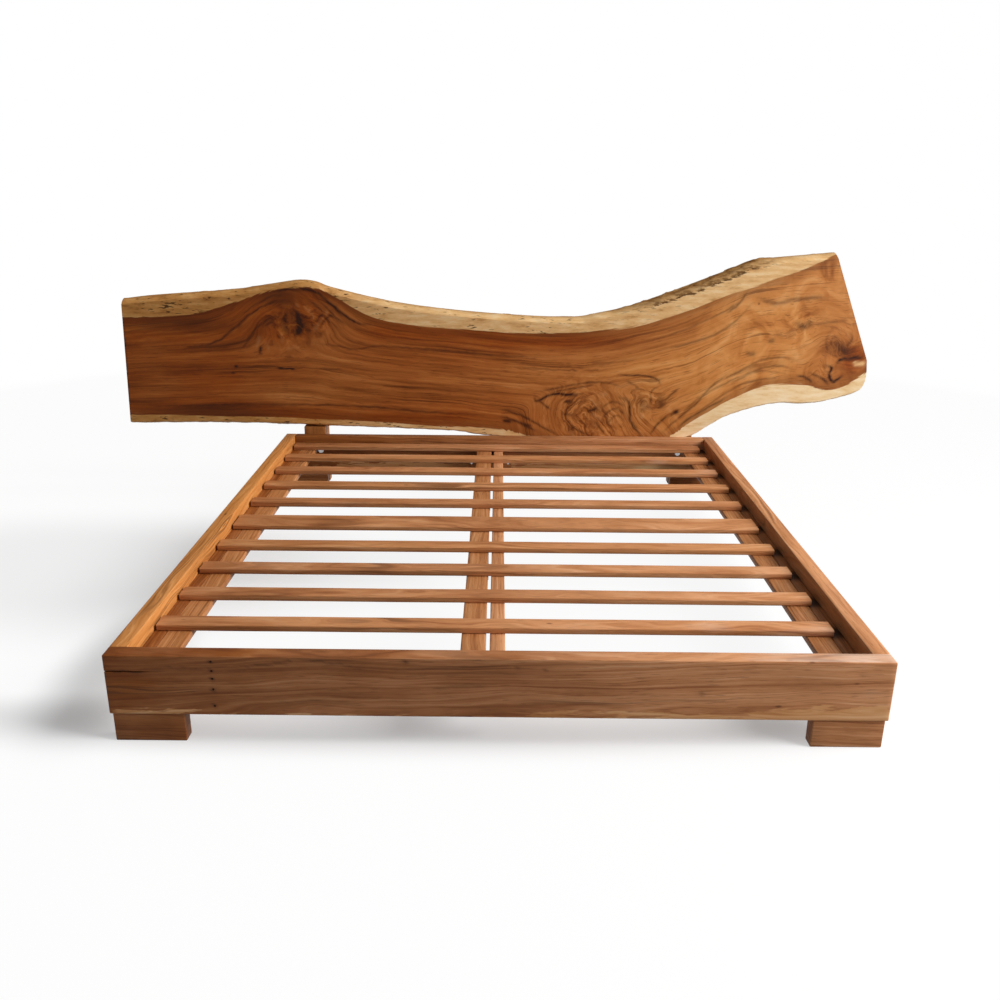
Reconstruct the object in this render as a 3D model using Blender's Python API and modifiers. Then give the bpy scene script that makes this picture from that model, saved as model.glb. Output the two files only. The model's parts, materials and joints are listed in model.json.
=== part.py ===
"""A low king size platform bed in solid hardwood, with a live-edge slab as its headboard.

Units are metres. +Z is up, +Y runs from the foot of the bed to its head, and X runs across.
The origin is on the floor, at the middle of the bed frame, under the narrow centre beam.
"""

import math

import bmesh
import bpy
import numpy as np
from mathutils import Matrix, Vector

# Clearances and eased edges
GAP = 0.0003
OVERCUT = 0.010
EASE = 0.002
MERGE = 0.00001
SMOOTH_LIMIT = math.radians(30)

# Frame of four rails
FRAME_WIDTH = 2.050
FRAME_LENGTH = 2.150
RAIL_HEIGHT = 0.173
RAIL_THICKNESS = 0.048
TENON_LENGTH = 0.025
TENON_THICKNESS = 0.018
TENON_SHOULDER = 0.030
FOOT_TENON_LENGTH = 0.060
FOOT_TENON_FROM_SIDE_RAIL = 0.043
FOOT_TENON_HEIGHT = 0.025

# Corner feet, upright plates under the foot rail and the head rail
FOOT_HEIGHT = 0.084
FOOT_WIDTH = 0.190
FOOT_DEPTH = 0.040
FOOT_END_INSET = 0.006
FOOT_SETBACK = 0.005

# Cleats on the side rails and the ledger boards beside them
SEAT_BELOW_TOP = 0.0495
CLEAT_WIDTH = 0.038
CLEAT_HEIGHT = 0.050
LEDGER_WIDTH = 0.069
LEDGER_THICKNESS = 0.020
TONGUE_WIDTH = 0.012
TONGUE_THICKNESS = 0.008
CORNER_BLOCK = 0.040
CORNER_BLOCK_HEIGHT = 0.050

# Slats, laid with a near even gap between the foot rail and the head rail
SLAT_COUNT = 10
SLAT_WIDTH = 0.060
SLAT_THICKNESS = 0.020
WIDE_SLAT = 5
WIDE_SLAT_WIDTH = 0.112
FOOT_TO_FIRST_SLAT = 0.180
LAST_SLAT_TO_HEAD = 0.008
SLAT_LEFT_GAP = 0.008
SLAT_RIGHT_GAP = 0.032
SLAT_DRIFT = {7: 0.012, 8: 0.020, 9: 0.014}

# Two lengthwise beams under the slats, on blocks at both ends and on feet between
BEAM_GAP_X = -0.0305
BEAM_GAP = 0.011
WIDE_BEAM_WIDTH = 0.069
NARROW_BEAM_WIDTH = 0.043
BEAM_HEIGHT = 0.045
BEAM_BLOCK_DEPTH = 0.035
BEAM_BLOCK_HEIGHT = 0.045
BEAM_BLOCK_MARGIN = 0.042
CENTRE_FOOT_DEPTH = 0.070
CENTRE_FOOT_INSET = 0.002
CENTRE_FOOT_FROM_RAIL = 0.277
CENTRE_TENON_HEIGHT = 0.020
CENTRE_TENON_MARGIN = 0.010

# Headboard slab: its two live edges, left to right, as points (x, height above the rails' tops)
SLAB_THICKNESS = 0.055
SLAB_STATIONS = 56
CURVE_STEPS = 16
TOP_EDGE = (
    (-1.753, 0.636), (-1.600, 0.654), (-1.240, 0.682), (-1.060, 0.709), (-0.940, 0.726), (-0.858, 0.721),
    (-0.765, 0.690), (-0.470, 0.626), (-0.100, 0.585), (0.300, 0.566), (0.466, 0.588), (0.651, 0.636),
    (1.011, 0.773), (1.141, 0.828), (1.250, 0.843), (1.520, 0.867),
)
BOTTOM_EDGE = (
    (-1.776, 0.041), (-1.258, 0.046), (-0.773, 0.033), (-0.248, 0.015), (-0.083, -0.005), (0.250, -0.030),
    (0.550, -0.046), (0.780, -0.038), (0.927, -0.002), (1.065, 0.086), (1.158, 0.124), (1.251, 0.150),
    (1.346, 0.165), (1.442, 0.163), (1.536, 0.172), (1.629, 0.197), (1.680, 0.214), (1.718, 0.238),
    (1.732, 0.290), (1.725, 0.366),
)

# The wane, where the slab's front face gives way to the rounded bark side; shares are of wane and thickness
TOP_WANE = 0.040
BOTTOM_WANE = 0.026
BACK_ROUND = 0.008
WANE_SHOULDER_SHARE = 0.4
WANE_SHOULDER_DEPTH_SHARE = 0.3
TOP_CREST_DEPTH_SHARE = 0.7
BOTTOM_CREST_DEPTH_SHARE = 0.6

# Posts behind the slab, and the blocks between them and the head rail that the slab rests on
POST_WIDTH = 0.102
POST_DEPTH = 0.050
POST_ABOVE_RAILS = 0.543
POST_OUTER_INSET = 0.085

# Flanged lag screws, bolts and nuts
LAG_RADIUS = 0.0050
LAG_IN_SLAB = 0.037
LAGS_BELOW_POST_TOP = (0.340, 0.120)
BOLT_RADIUS = 0.0060
BOLT_END = 0.004
BOLT_FROM_POST_EDGE = 0.017
UPPER_BOLT_BELOW_SEAT = 0.018
BOLT_SPACING = 0.040
NUT_HEIGHT = 0.012
HEX_SIDES = 6
HEX_WIDTH_PER_RADIUS = 3.2
HEX_HEAD_HEIGHT = 0.0085
FLANGE_WIDTH_PER_RADIUS = 4.4
FLANGE_THICKNESS = 0.0025
BOLT_SIDES = 12

# Pegs in a line up the foot rail's face, spread in shares of the way from the lowest to the highest
PEG_RADIUS = 0.003
PEG_LENGTH = 0.022
PEG_FROM_LEFT_END = 0.281
LOWEST_PEG_ABOVE_RAIL_FOOT = 0.027
HIGHEST_PEG_BELOW_RAIL_TOP = 0.015
PEG_SPREAD = (0.0, 0.38, 0.62, 0.79, 1.0)
PEG_SIDES = 8

# Levels and faces that follow from the sizes above
RAIL_FOOT = FOOT_HEIGHT + GAP
RAIL_TOP = RAIL_FOOT + RAIL_HEIGHT
SEAT = RAIL_TOP - SEAT_BELOW_TOP
OUTER_X = FRAME_WIDTH / 2
INNER_X = OUTER_X - RAIL_THICKNESS
OUTER_Y = FRAME_LENGTH / 2
INNER_Y = OUTER_Y - RAIL_THICKNESS
CLEAT_FACE_X = INNER_X - GAP - CLEAT_WIDTH
LEDGER_OUTER_X = CLEAT_FACE_X - GAP
LEDGER_INNER_X = LEDGER_OUTER_X - LEDGER_WIDTH
BEAM_FOOT = SEAT - BEAM_HEIGHT
SLAB_FRONT = OUTER_Y + GAP
SLAB_BACK = SLAB_FRONT + SLAB_THICKNESS
POST_FRONT = SLAB_BACK + GAP
POST_BACK = POST_FRONT + POST_DEPTH
POST_TOP = RAIL_TOP + POST_ABOVE_RAILS
POST_OUTER_X = OUTER_X - POST_OUTER_INSET
POST_INNER_X = POST_OUTER_X - POST_WIDTH
POST_MIDDLE_X = (POST_OUTER_X + POST_INNER_X) / 2
BOLT_X = POST_INNER_X + BOLT_FROM_POST_EDGE
UPPER_BOLT = SEAT - UPPER_BOLT_BELOW_SEAT
BOLT_LEVELS = (("lower", UPPER_BOLT - BOLT_SPACING), ("upper", UPPER_BOLT))

SIDES = (("left", -1), ("right", 1))
ENDS = (("foot", -1), ("head", 1))


def new_collection(name):
    """A fresh collection linked to the scene."""
    made = bpy.data.collections.new(name)
    bpy.context.scene.collection.children.link(made)
    return made


def new_material(name, colour, roughness, metallic=0.0):
    """A Principled material with one colour."""
    made = bpy.data.materials.new(name)
    made.use_nodes = True
    shader = made.node_tree.nodes["Principled BSDF"]
    shader.inputs["Base Color"].default_value = (*colour, 1.0)
    shader.inputs["Roughness"].default_value = roughness
    shader.inputs["Metallic"].default_value = metallic
    return made


def new_object(name, mesh, material):
    """An object of the bed: a named mesh with its material, in the bed's collection."""
    made = bpy.data.objects.new(name, mesh)
    mesh.materials.clear()
    mesh.materials.append(material)
    BED.objects.link(made)
    return made


def new_cutter(name, mesh):
    """A shape that only cuts or joins other pieces."""
    made = bpy.data.objects.new(name, mesh)
    made.hide_render = True
    made.display_type = "WIRE"
    CUTTERS.objects.link(made)
    return made


def box_mesh(name, size):
    """A box of the given size about its own centre."""
    cube = bmesh.new()
    bmesh.ops.create_cube(cube, size=1.0)
    bmesh.ops.scale(cube, vec=size, verts=cube.verts)
    mesh = bpy.data.meshes.new(name)
    cube.to_mesh(mesh)
    cube.free()
    return mesh


def centre_and_size(*spans):
    """The centre and the size of a box given as three spans, each in either order."""
    centre = Vector([(a + b) / 2 for a, b in spans])
    size = Vector([abs(b - a) for a, b in spans])
    return centre, size


def board(name, x, y, z, material, ease=EASE):
    """A board between the given spans, with its edges eased."""
    centre, size = centre_and_size(x, y, z)
    made = new_object(name, box_mesh(name, size), material)
    made.location = centre
    bevel = made.modifiers.new("eased_edges", "BEVEL")
    bevel.width = ease
    bevel.segments = 1
    return made


def cutting_box(name, x, y, z):
    """A box that cuts or joins, between the given spans."""
    centre, size = centre_and_size(x, y, z)
    made = new_cutter(name, box_mesh(name, size))
    made.location = centre
    return made


def combine(piece, other, operation):
    """Cut the other shape out of the piece (DIFFERENCE) or add it (UNION)."""
    boolean = piece.modifiers.new(other.name, "BOOLEAN")
    boolean.operation = operation
    boolean.solver = "EXACT"
    boolean.object = other


def cut(pieces, cutter):
    """Cut one shape out of several pieces."""
    for piece in pieces:
        combine(piece, cutter, "DIFFERENCE")


def evaluated_mesh(source):
    """The mesh of an object with its modifiers applied; the object is removed."""
    graph = bpy.context.evaluated_depsgraph_get()
    graph.update()
    mesh = bpy.data.meshes.new_from_object(source.evaluated_get(graph))
    bpy.data.objects.remove(source)
    return mesh


def turned_mesh(name, profile, sides):
    """A turned shape from (radius, height) points that run down its outer side."""
    points = [(radius, 0.0, height) for radius, height in profile]
    edges = [(i, i + 1) for i in range(len(points) - 1)]
    outline = bpy.data.meshes.new(name)
    outline.from_pydata(points, edges, [])
    spinner = bpy.data.objects.new(name, outline)
    CUTTERS.objects.link(spinner)
    screw = spinner.modifiers.new("turn", "SCREW")
    screw.steps = sides
    screw.render_steps = sides
    screw.use_merge_vertices = True
    screw.merge_threshold = MERGE
    return evaluated_mesh(spinner)


def driven(at, direction):
    """The place of a fastener whose head is at a point and which points along a direction."""
    turn = Vector((0, 0, -1)).rotation_difference(Vector(direction))
    return Matrix.Translation(at) @ turn.to_matrix().to_4x4()


def rod_profile(radius, top, bottom):
    """A plain round rod between two heights."""
    return ((0, top), (radius, top), (radius, bottom), (0, bottom))


def hex_prism(name, shank_radius, low, high):
    """A hexagonal prism about the vertical axis, sized for a shank."""
    prism = bmesh.new()
    corner_radius = HEX_WIDTH_PER_RADIUS * shank_radius / math.sqrt(3)
    place = Matrix.Translation((0, 0, (low + high) / 2))
    bmesh.ops.create_cone(
        prism,
        cap_ends=True,
        segments=HEX_SIDES,
        radius1=corner_radius,
        radius2=corner_radius,
        depth=high - low,
        matrix=place,
    )
    mesh = bpy.data.meshes.new(name)
    prism.to_mesh(mesh)
    prism.free()
    return mesh


def flange_profile(radius, low):
    """A flange on height 0 with a round shank below it, down to a height."""
    flange = FLANGE_WIDTH_PER_RADIUS * radius / 2
    rim = ((0, FLANGE_THICKNESS), (flange, FLANGE_THICKNESS), (flange, 0))
    return rim + ((radius, 0), (radius, low), (0, low))


def flange_bolt_mesh(name, radius, length):
    """A bolt or lag screw with a flanged hexagonal head on height 0 and a round shank below it."""
    bolt = new_cutter(name, turned_mesh(name, flange_profile(radius, -length), BOLT_SIDES))
    prism = hex_prism(name + "_head", radius, FLANGE_THICKNESS / 2, HEX_HEAD_HEIGHT)
    head = new_cutter(name + "_head", prism)
    combine(bolt, head, "UNION")
    mesh = evaluated_mesh(bolt)
    bpy.data.objects.remove(head)
    return mesh


def flange_nut_mesh(name, radius):
    """A flanged hexagonal nut that stands on height 0, with a plain hole."""
    flange = rod_profile(FLANGE_WIDTH_PER_RADIUS * radius / 2, FLANGE_THICKNESS, 0)
    nut = new_cutter(name, turned_mesh(name, flange, BOLT_SIDES))
    prism = hex_prism(name + "_head", radius, FLANGE_THICKNESS / 2, NUT_HEIGHT)
    head = new_cutter(name + "_head", prism)
    through = rod_profile(radius + GAP, NUT_HEIGHT + OVERCUT, -OVERCUT)
    bore = new_cutter(name + "_bore", turned_mesh(name + "_bore", through, BOLT_SIDES))
    combine(nut, head, "UNION")
    combine(nut, bore, "DIFFERENCE")
    mesh = evaluated_mesh(nut)
    bpy.data.objects.remove(head)
    bpy.data.objects.remove(bore)
    return mesh


def fastener(name, mesh, place, material):
    """One bolt, screw, nut or peg at its place."""
    made = new_object(name, mesh, material)
    made.matrix_world = place
    mesh.shade_smooth()
    mesh.set_sharp_from_angle(angle=SMOOTH_LIMIT)


def hole(name, radius, depth, place, sides):
    """A round hole of a depth, open at its mouth."""
    made = new_cutter(name, turned_mesh(name, rod_profile(radius + GAP, OVERCUT, -depth - GAP), sides))
    made.matrix_world = place
    return made


def smooth_line(points, count):
    """A smooth curve through points (Catmull-Rom), read at equal steps along its length."""
    known = [Vector(point) for point in points]
    known = [2 * known[0] - known[1]] + known + [2 * known[-1] - known[-2]]
    fine = []
    for a, b, c, d in zip(known, known[1:], known[2:], known[3:]):
        slope = c - a
        bend = 2 * a - 5 * b + 4 * c - d
        twist = 3 * b - a - 3 * c + d
        for step in range(CURVE_STEPS):
            t = step / CURVE_STEPS
            fine.append(b + (slope * t + bend * t**2 + twist * t**3) / 2)
    fine.append(known[-2])
    lengths = [(q - p).length for p, q in zip(fine, fine[1:])]
    walked = np.concatenate(([0.0], np.cumsum(lengths)))
    wanted = np.linspace(0.0, walked[-1], count)
    xs = np.interp(wanted, walked, [point.x for point in fine])
    zs = np.interp(wanted, walked, [point.y for point in fine])
    return [Vector((x, z)) for x, z in zip(xs, zs)]


def slab_edge(points):
    """One live edge of the slab at its stations, as (x, height over the floor)."""
    return [point + Vector((0, RAIL_TOP)) for point in smooth_line(points, SLAB_STATIONS)]


def slab_bottom_between(low_x, high_x):
    """The lowest height of the slab's lower edge over a stretch of its width."""
    edge = slab_edge(BOTTOM_EDGE)
    within = [point.y for point in edge if low_x < point.x < high_x]
    at_ends = np.interp((low_x, high_x), [point.x for point in edge], [point.y for point in edge])
    return min(*within, *at_ends)


def slab_section(height):
    """The slab's section as (distance up, depth): sawn faces front and back, a wane at both edges."""
    shoulder_depth = SLAB_THICKNESS * WANE_SHOULDER_DEPTH_SHARE
    return (
        (BOTTOM_WANE, 0.0),
        (height - TOP_WANE, 0.0),
        (height - TOP_WANE * WANE_SHOULDER_SHARE, shoulder_depth),
        (height, SLAB_THICKNESS * TOP_CREST_DEPTH_SHARE),
        (height - BACK_ROUND, SLAB_THICKNESS),
        (BACK_ROUND, SLAB_THICKNESS),
        (0.0, SLAB_THICKNESS * BOTTOM_CREST_DEPTH_SHARE),
        (BOTTOM_WANE * WANE_SHOULDER_SHARE, shoulder_depth),
    )


def make_slab():
    """The headboard: sections lofted from the left sawn end to the right one."""
    loft = bmesh.new()
    rings = []
    for low, high in zip(slab_edge(BOTTOM_EDGE), slab_edge(TOP_EDGE)):
        up = high - low
        ring = []
        for distance, depth in slab_section(up.length):
            point = low + up.normalized() * distance
            ring.append(loft.verts.new((point.x, SLAB_FRONT + depth, point.y)))
        rings.append(ring)
    for ring, following in zip(rings, rings[1:]):
        for i in range(len(ring)):
            j = (i + 1) % len(ring)
            loft.faces.new((ring[i], ring[j], following[j], following[i]))
    loft.faces.new(rings[0])
    loft.faces.new(rings[-1])
    bmesh.ops.recalc_face_normals(loft, faces=loft.faces)
    mesh = bpy.data.meshes.new("headboard_slab")
    loft.to_mesh(mesh)
    loft.free()
    slab = new_object("headboard_slab", mesh, SLAB_WOOD)
    mesh.shade_smooth()
    mesh.set_sharp_from_angle(angle=SMOOTH_LIMIT)
    return slab


def make_rails():
    """Four rails; the side rails are tenoned into the foot rail, and the head rail into the side rails."""
    height = (RAIL_FOOT, RAIL_TOP)
    tenon_z = (RAIL_FOOT + TENON_SHOULDER, RAIL_TOP - TENON_SHOULDER)
    mortise_z = (tenon_z[0] - GAP, tenon_z[1] + GAP)
    half_tenon = TENON_THICKNESS / 2
    rails = {"foot": board("foot_rail", (-OUTER_X, OUTER_X), (-OUTER_Y, -INNER_Y), height, RAIL_WOOD)}
    head_x = INNER_X - GAP
    rails["head"] = board("head_rail", (-head_x, head_x), (INNER_Y, OUTER_Y), height, RAIL_WOOD)
    head_middle = (INNER_Y + OUTER_Y) / 2
    for side, sign in SIDES:
        rail_x = (sign * INNER_X, sign * OUTER_X)
        start = -INNER_Y + GAP
        rail = board("side_rail_" + side, rail_x, (start, OUTER_Y), height, RAIL_WOOD)
        middle = sign * (INNER_X + OUTER_X) / 2
        across = (middle - half_tenon, middle + half_tenon)
        tenon = cutting_box("side_tenon_" + side, across, (start - TENON_LENGTH, start + OVERCUT), tenon_z)
        combine(rail, tenon, "UNION")
        mortise_x = (across[0] - GAP, across[1] + GAP)
        mortise_y = (start - TENON_LENGTH - GAP, start + OVERCUT)
        cut([rails["foot"]], cutting_box("foot_mortise_" + side, mortise_x, mortise_y, mortise_z))
        along = (head_middle - half_tenon, head_middle + half_tenon)
        tenon_x = (sign * (head_x - OVERCUT), sign * (head_x + TENON_LENGTH))
        combine(rails["head"], cutting_box("head_tenon_" + side, tenon_x, along, tenon_z), "UNION")
        mortise_x = (sign * (head_x - OVERCUT), sign * (head_x + TENON_LENGTH + GAP))
        mortise_y = (along[0] - GAP, along[1] + GAP)
        cut([rail], cutting_box("side_mortise_" + side, mortise_x, mortise_y, mortise_z))
        rails[side] = rail
    return rails


def make_cleats_and_ledgers():
    """A cleat along each side rail, grooved for the tongue of the ledger board beside it."""
    length = (-INNER_Y + GAP, INNER_Y - GAP)
    past_ends = (-INNER_Y - OVERCUT, INNER_Y + OVERCUT)
    tongue_middle = SEAT - LEDGER_THICKNESS / 2
    tongue_z = (tongue_middle - TONGUE_THICKNESS / 2, tongue_middle + TONGUE_THICKNESS / 2)
    groove_z = (tongue_z[0] - GAP, tongue_z[1] + GAP)
    for side, sign in SIDES:
        cleat_x = (sign * CLEAT_FACE_X, sign * (INNER_X - GAP))
        cleat = board("cleat_" + side, cleat_x, length, (SEAT - CLEAT_HEIGHT, SEAT), RAIL_WOOD)
        ledger_x = (sign * LEDGER_INNER_X, sign * LEDGER_OUTER_X)
        ledger = board("ledger_" + side, ledger_x, length, (SEAT - LEDGER_THICKNESS, SEAT), SLAT_WOOD)
        tongue_tip = LEDGER_OUTER_X + TONGUE_WIDTH
        tongue_x = (sign * (LEDGER_OUTER_X - OVERCUT), sign * tongue_tip)
        tongue_y = (length[0] + EASE, length[1] - EASE)
        combine(ledger, cutting_box("tongue_" + side, tongue_x, tongue_y, tongue_z), "UNION")
        groove_x = (sign * (CLEAT_FACE_X - OVERCUT), sign * (tongue_tip + GAP))
        cut([cleat], cutting_box("groove_" + side, groove_x, past_ends, groove_z))


def make_corner_blocks():
    """A block in each inner corner of the frame, under the cleat."""
    top = SEAT - CLEAT_HEIGHT - GAP
    for end, way in ENDS:
        for side, sign in SIDES:
            x = (sign * (INNER_X - GAP - CORNER_BLOCK), sign * (INNER_X - GAP))
            y = (way * (INNER_Y - GAP - CORNER_BLOCK), way * (INNER_Y - GAP))
            board("corner_block_" + end + "_" + side, x, y, (top - CORNER_BLOCK_HEIGHT, top), BLOCK_WOOD)


def slat_places():
    """The middle and the width of each slat along the bed, from the foot."""
    widths = [SLAT_WIDTH] * SLAT_COUNT
    if WIDE_SLAT <= SLAT_COUNT:
        widths[WIDE_SLAT - 1] = WIDE_SLAT_WIDTH
    room = 2 * INNER_Y - FOOT_TO_FIRST_SLAT - LAST_SLAT_TO_HEAD - sum(widths)
    space = room / (SLAT_COUNT - 1)
    edge = -INNER_Y + FOOT_TO_FIRST_SLAT
    places = []
    for number, width in enumerate(widths, 1):
        places.append((edge + width / 2 + SLAT_DRIFT.get(number, 0.0), width))
        edge += width + space
    return places


def make_slats():
    """The slats across the bed, on the cleats, the ledger boards and the beams."""
    x = (-INNER_X + SLAT_LEFT_GAP, INNER_X - SLAT_RIGHT_GAP)
    foot = SEAT + GAP
    for number, (middle, width) in enumerate(slat_places(), 1):
        y = (middle - width / 2, middle + width / 2)
        board(f"slat_{number:02d}", x, y, (foot, foot + SLAT_THICKNESS), SLAT_WOOD)


def make_beams():
    """Two lengthwise beams, the blocks on the end rails that carry them, and three feet under each."""
    length = (-INNER_Y + GAP, INNER_Y - GAP)
    wide_edge = BEAM_GAP_X - BEAM_GAP / 2
    narrow_edge = BEAM_GAP_X + BEAM_GAP / 2
    spans = {
        "wide": (wide_edge - WIDE_BEAM_WIDTH, wide_edge),
        "narrow": (narrow_edge, narrow_edge + NARROW_BEAM_WIDTH),
    }
    for kind, x in spans.items():
        beam = board("centre_beam_" + kind, x, length, (BEAM_FOOT, SEAT), RAIL_WOOD)
        foot_x = (x[0] + CENTRE_FOOT_INSET, x[1] - CENTRE_FOOT_INSET)
        for row, place in (("foot", -1), ("middle", 0), ("head", 1)):
            middle = place * (INNER_Y - CENTRE_FOOT_FROM_RAIL)
            y = (middle - CENTRE_FOOT_DEPTH / 2, middle + CENTRE_FOOT_DEPTH / 2)
            name = "centre_foot_" + kind + "_" + row
            foot = board(name, foot_x, y, (0, BEAM_FOOT - GAP), BLOCK_WOOD)
            tenon_x = (foot_x[0] + CENTRE_TENON_MARGIN, foot_x[1] - CENTRE_TENON_MARGIN)
            tenon_y = (y[0] + CENTRE_TENON_MARGIN, y[1] - CENTRE_TENON_MARGIN)
            join_tenon(foot, beam, tenon_x, tenon_y, BEAM_FOOT - GAP, CENTRE_TENON_HEIGHT)
    block_x = (spans["wide"][0] - BEAM_BLOCK_MARGIN, spans["narrow"][1] + BEAM_BLOCK_MARGIN)
    top = BEAM_FOOT - GAP
    for end, way in ENDS:
        y = (way * (INNER_Y - GAP - BEAM_BLOCK_DEPTH), way * (INNER_Y - GAP))
        board("beam_block_" + end, block_x, y, (top - BEAM_BLOCK_HEIGHT, top), BLOCK_WOOD)


def join_tenon(foot, carried, x, y, top, height):
    """A stub tenon on top of a foot, and its mortise in the underside of what the foot carries."""
    tenon = cutting_box(foot.name + "_tenon", x, y, (top - OVERCUT, top + height))
    combine(foot, tenon, "UNION")
    wide_x = (min(x) - GAP, max(x) + GAP)
    wide_y = (min(y) - GAP, max(y) + GAP)
    mortise = cutting_box(foot.name + "_mortise", wide_x, wide_y, (top - OVERCUT, top + height + GAP))
    cut([carried], mortise)


def make_corner_feet(rails):
    """Four upright plates, set in a little from the rails' ends and faces, tenoned into the end rails."""
    outer = OUTER_X - FOOT_END_INSET
    inner = outer - FOOT_WIDTH
    face = OUTER_Y - FOOT_SETBACK
    middle = face - FOOT_DEPTH / 2
    tenon_end = INNER_X - FOOT_TENON_FROM_SIDE_RAIL
    for end, way in ENDS:
        for side, sign in SIDES:
            x = (sign * inner, sign * outer)
            y = (way * (face - FOOT_DEPTH), way * face)
            foot = board("corner_foot_" + end + "_" + side, x, y, (0, FOOT_HEIGHT), RAIL_WOOD)
            tenon_x = (sign * (tenon_end - FOOT_TENON_LENGTH), sign * tenon_end)
            tenon_y = (way * middle - TENON_THICKNESS / 2, way * middle + TENON_THICKNESS / 2)
            join_tenon(foot, rails[end], tenon_x, tenon_y, FOOT_HEIGHT, FOOT_TENON_HEIGHT)


def make_posts():
    """The posts behind the slab, and the blocks under it, between posts and head rail."""
    posts = {}
    spacers = {}
    for side, sign in SIDES:
        x = (sign * POST_INNER_X, sign * POST_OUTER_X)
        depth = (POST_FRONT, POST_BACK)
        posts[side] = board("headboard_post_" + side, x, depth, (0, POST_TOP), RAIL_WOOD)
        height = (RAIL_FOOT, slab_bottom_between(min(x), max(x)) - GAP)
        spacers[side] = board("slab_block_" + side, x, (SLAB_FRONT, SLAB_BACK), height, RAIL_WOOD)
    return posts, spacers


def fasten_slab(slab, posts):
    """Lag screws from behind, through the posts into the slab."""
    length = POST_BACK + GAP - SLAB_BACK + LAG_IN_SLAB
    mesh = flange_bolt_mesh("slab_lag_screw", LAG_RADIUS, length)
    for side, sign in SIDES:
        for number, below_top in enumerate(LAGS_BELOW_POST_TOP, 1):
            at = (sign * POST_MIDDLE_X, POST_BACK + GAP, POST_TOP - below_top)
            place = driven(at, (0, -1, 0))
            name = f"slab_lag_screw_{side}_{number}"
            fastener(name, mesh, place, STEEL)
            cut([slab, posts[side]], hole(name + "_hole", LAG_RADIUS, length, place, BOLT_SIDES))


def fasten_posts(head_rail, spacers, posts):
    """Bolts through the head rail, the blocks and the posts, with a nut behind."""
    length = POST_BACK + GAP + NUT_HEIGHT + BOLT_END - (INNER_Y - GAP)
    bolt_mesh = flange_bolt_mesh("post_bolt", BOLT_RADIUS, length)
    nut_mesh = flange_nut_mesh("post_nut", BOLT_RADIUS)
    for side, sign in SIDES:
        for level, height in BOLT_LEVELS:
            place = driven((sign * BOLT_X, INNER_Y - GAP, height), (0, 1, 0))
            fastener(f"post_bolt_{side}_{level}", bolt_mesh, place, STEEL)
            nut_place = driven((sign * BOLT_X, POST_BACK + GAP, height), (0, -1, 0))
            fastener(f"post_nut_{side}_{level}", nut_mesh, nut_place, STEEL)
            bore = hole(f"post_bolt_{side}_{level}_hole", BOLT_RADIUS, length, place, BOLT_SIDES)
            cut([head_rail, spacers[side], posts[side]], bore)


def peg_foot_rail(foot_rail):
    """Dark pegs that fill a line of old nail holes in the foot rail's face."""
    x = -OUTER_X + PEG_FROM_LEFT_END
    mesh = turned_mesh("rail_peg", rod_profile(PEG_RADIUS, 0, -PEG_LENGTH), PEG_SIDES)
    lowest = RAIL_FOOT + LOWEST_PEG_ABOVE_RAIL_FOOT
    highest = RAIL_TOP - HIGHEST_PEG_BELOW_RAIL_TOP
    for number, share in enumerate(PEG_SPREAD, 1):
        place = driven((x, -OUTER_Y, lowest + share * (highest - lowest)), (0, 1, 0))
        fastener(f"rail_peg_{number}", mesh, place, PEG_WOOD)
        cut([foot_rail], hole(f"rail_peg_{number}_hole", PEG_RADIUS, PEG_LENGTH, place, PEG_SIDES))


def make_bed():
    """All pieces of wood, then the fasteners with their holes."""
    rails = make_rails()
    make_cleats_and_ledgers()
    make_corner_blocks()
    make_slats()
    make_beams()
    make_corner_feet(rails)
    slab = make_slab()
    posts, spacers = make_posts()
    fasten_slab(slab, posts)
    fasten_posts(rails["head"], spacers, posts)
    peg_foot_rail(rails["foot"])


for old in list(bpy.data.objects):
    bpy.data.objects.remove(old)
BED = new_collection("king_size_bed")
CUTTERS = new_collection("cutters")
SLAB_WOOD = new_material("slab_wood", (0.30, 0.12, 0.035), 0.45)
RAIL_WOOD = new_material("rail_wood", (0.30, 0.13, 0.05), 0.50)
SLAT_WOOD = new_material("slat_wood", (0.34, 0.13, 0.055), 0.55)
BLOCK_WOOD = new_material("block_wood", (0.28, 0.13, 0.06), 0.60)
PEG_WOOD = new_material("peg_wood", (0.04, 0.02, 0.01), 0.60)
STEEL = new_material("zinc_plated_steel", (0.62, 0.62, 0.60), 0.35, 1.0)
make_bed()
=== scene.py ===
"""The looks of a low king size bed of oiled rain tree, with a live-edge slab as its headboard.

Units are metres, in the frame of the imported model: +Z is up and +Y runs from the foot of the bed to its head.
"""

import json
import math

import bmesh
import bpy
import numpy as np
from mathutils import Matrix, Vector, noise


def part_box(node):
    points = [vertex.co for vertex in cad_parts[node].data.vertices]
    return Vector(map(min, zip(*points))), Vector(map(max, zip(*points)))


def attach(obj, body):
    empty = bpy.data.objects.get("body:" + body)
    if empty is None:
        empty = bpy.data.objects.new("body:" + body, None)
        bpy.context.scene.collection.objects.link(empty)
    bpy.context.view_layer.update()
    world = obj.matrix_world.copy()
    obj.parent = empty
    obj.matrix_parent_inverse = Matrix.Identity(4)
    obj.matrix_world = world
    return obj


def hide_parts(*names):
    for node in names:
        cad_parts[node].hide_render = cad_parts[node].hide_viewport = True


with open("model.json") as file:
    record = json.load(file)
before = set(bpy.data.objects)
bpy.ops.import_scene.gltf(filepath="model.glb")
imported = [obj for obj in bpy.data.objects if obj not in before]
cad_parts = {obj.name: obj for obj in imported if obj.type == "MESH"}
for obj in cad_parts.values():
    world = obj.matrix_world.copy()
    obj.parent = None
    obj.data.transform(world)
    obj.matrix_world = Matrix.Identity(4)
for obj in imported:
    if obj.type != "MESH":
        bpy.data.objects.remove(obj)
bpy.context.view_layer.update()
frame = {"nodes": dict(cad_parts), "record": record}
SLOT_OF = {part["node"]: part["material_slot"] for part in frame["record"]["subparts"]}

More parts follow.
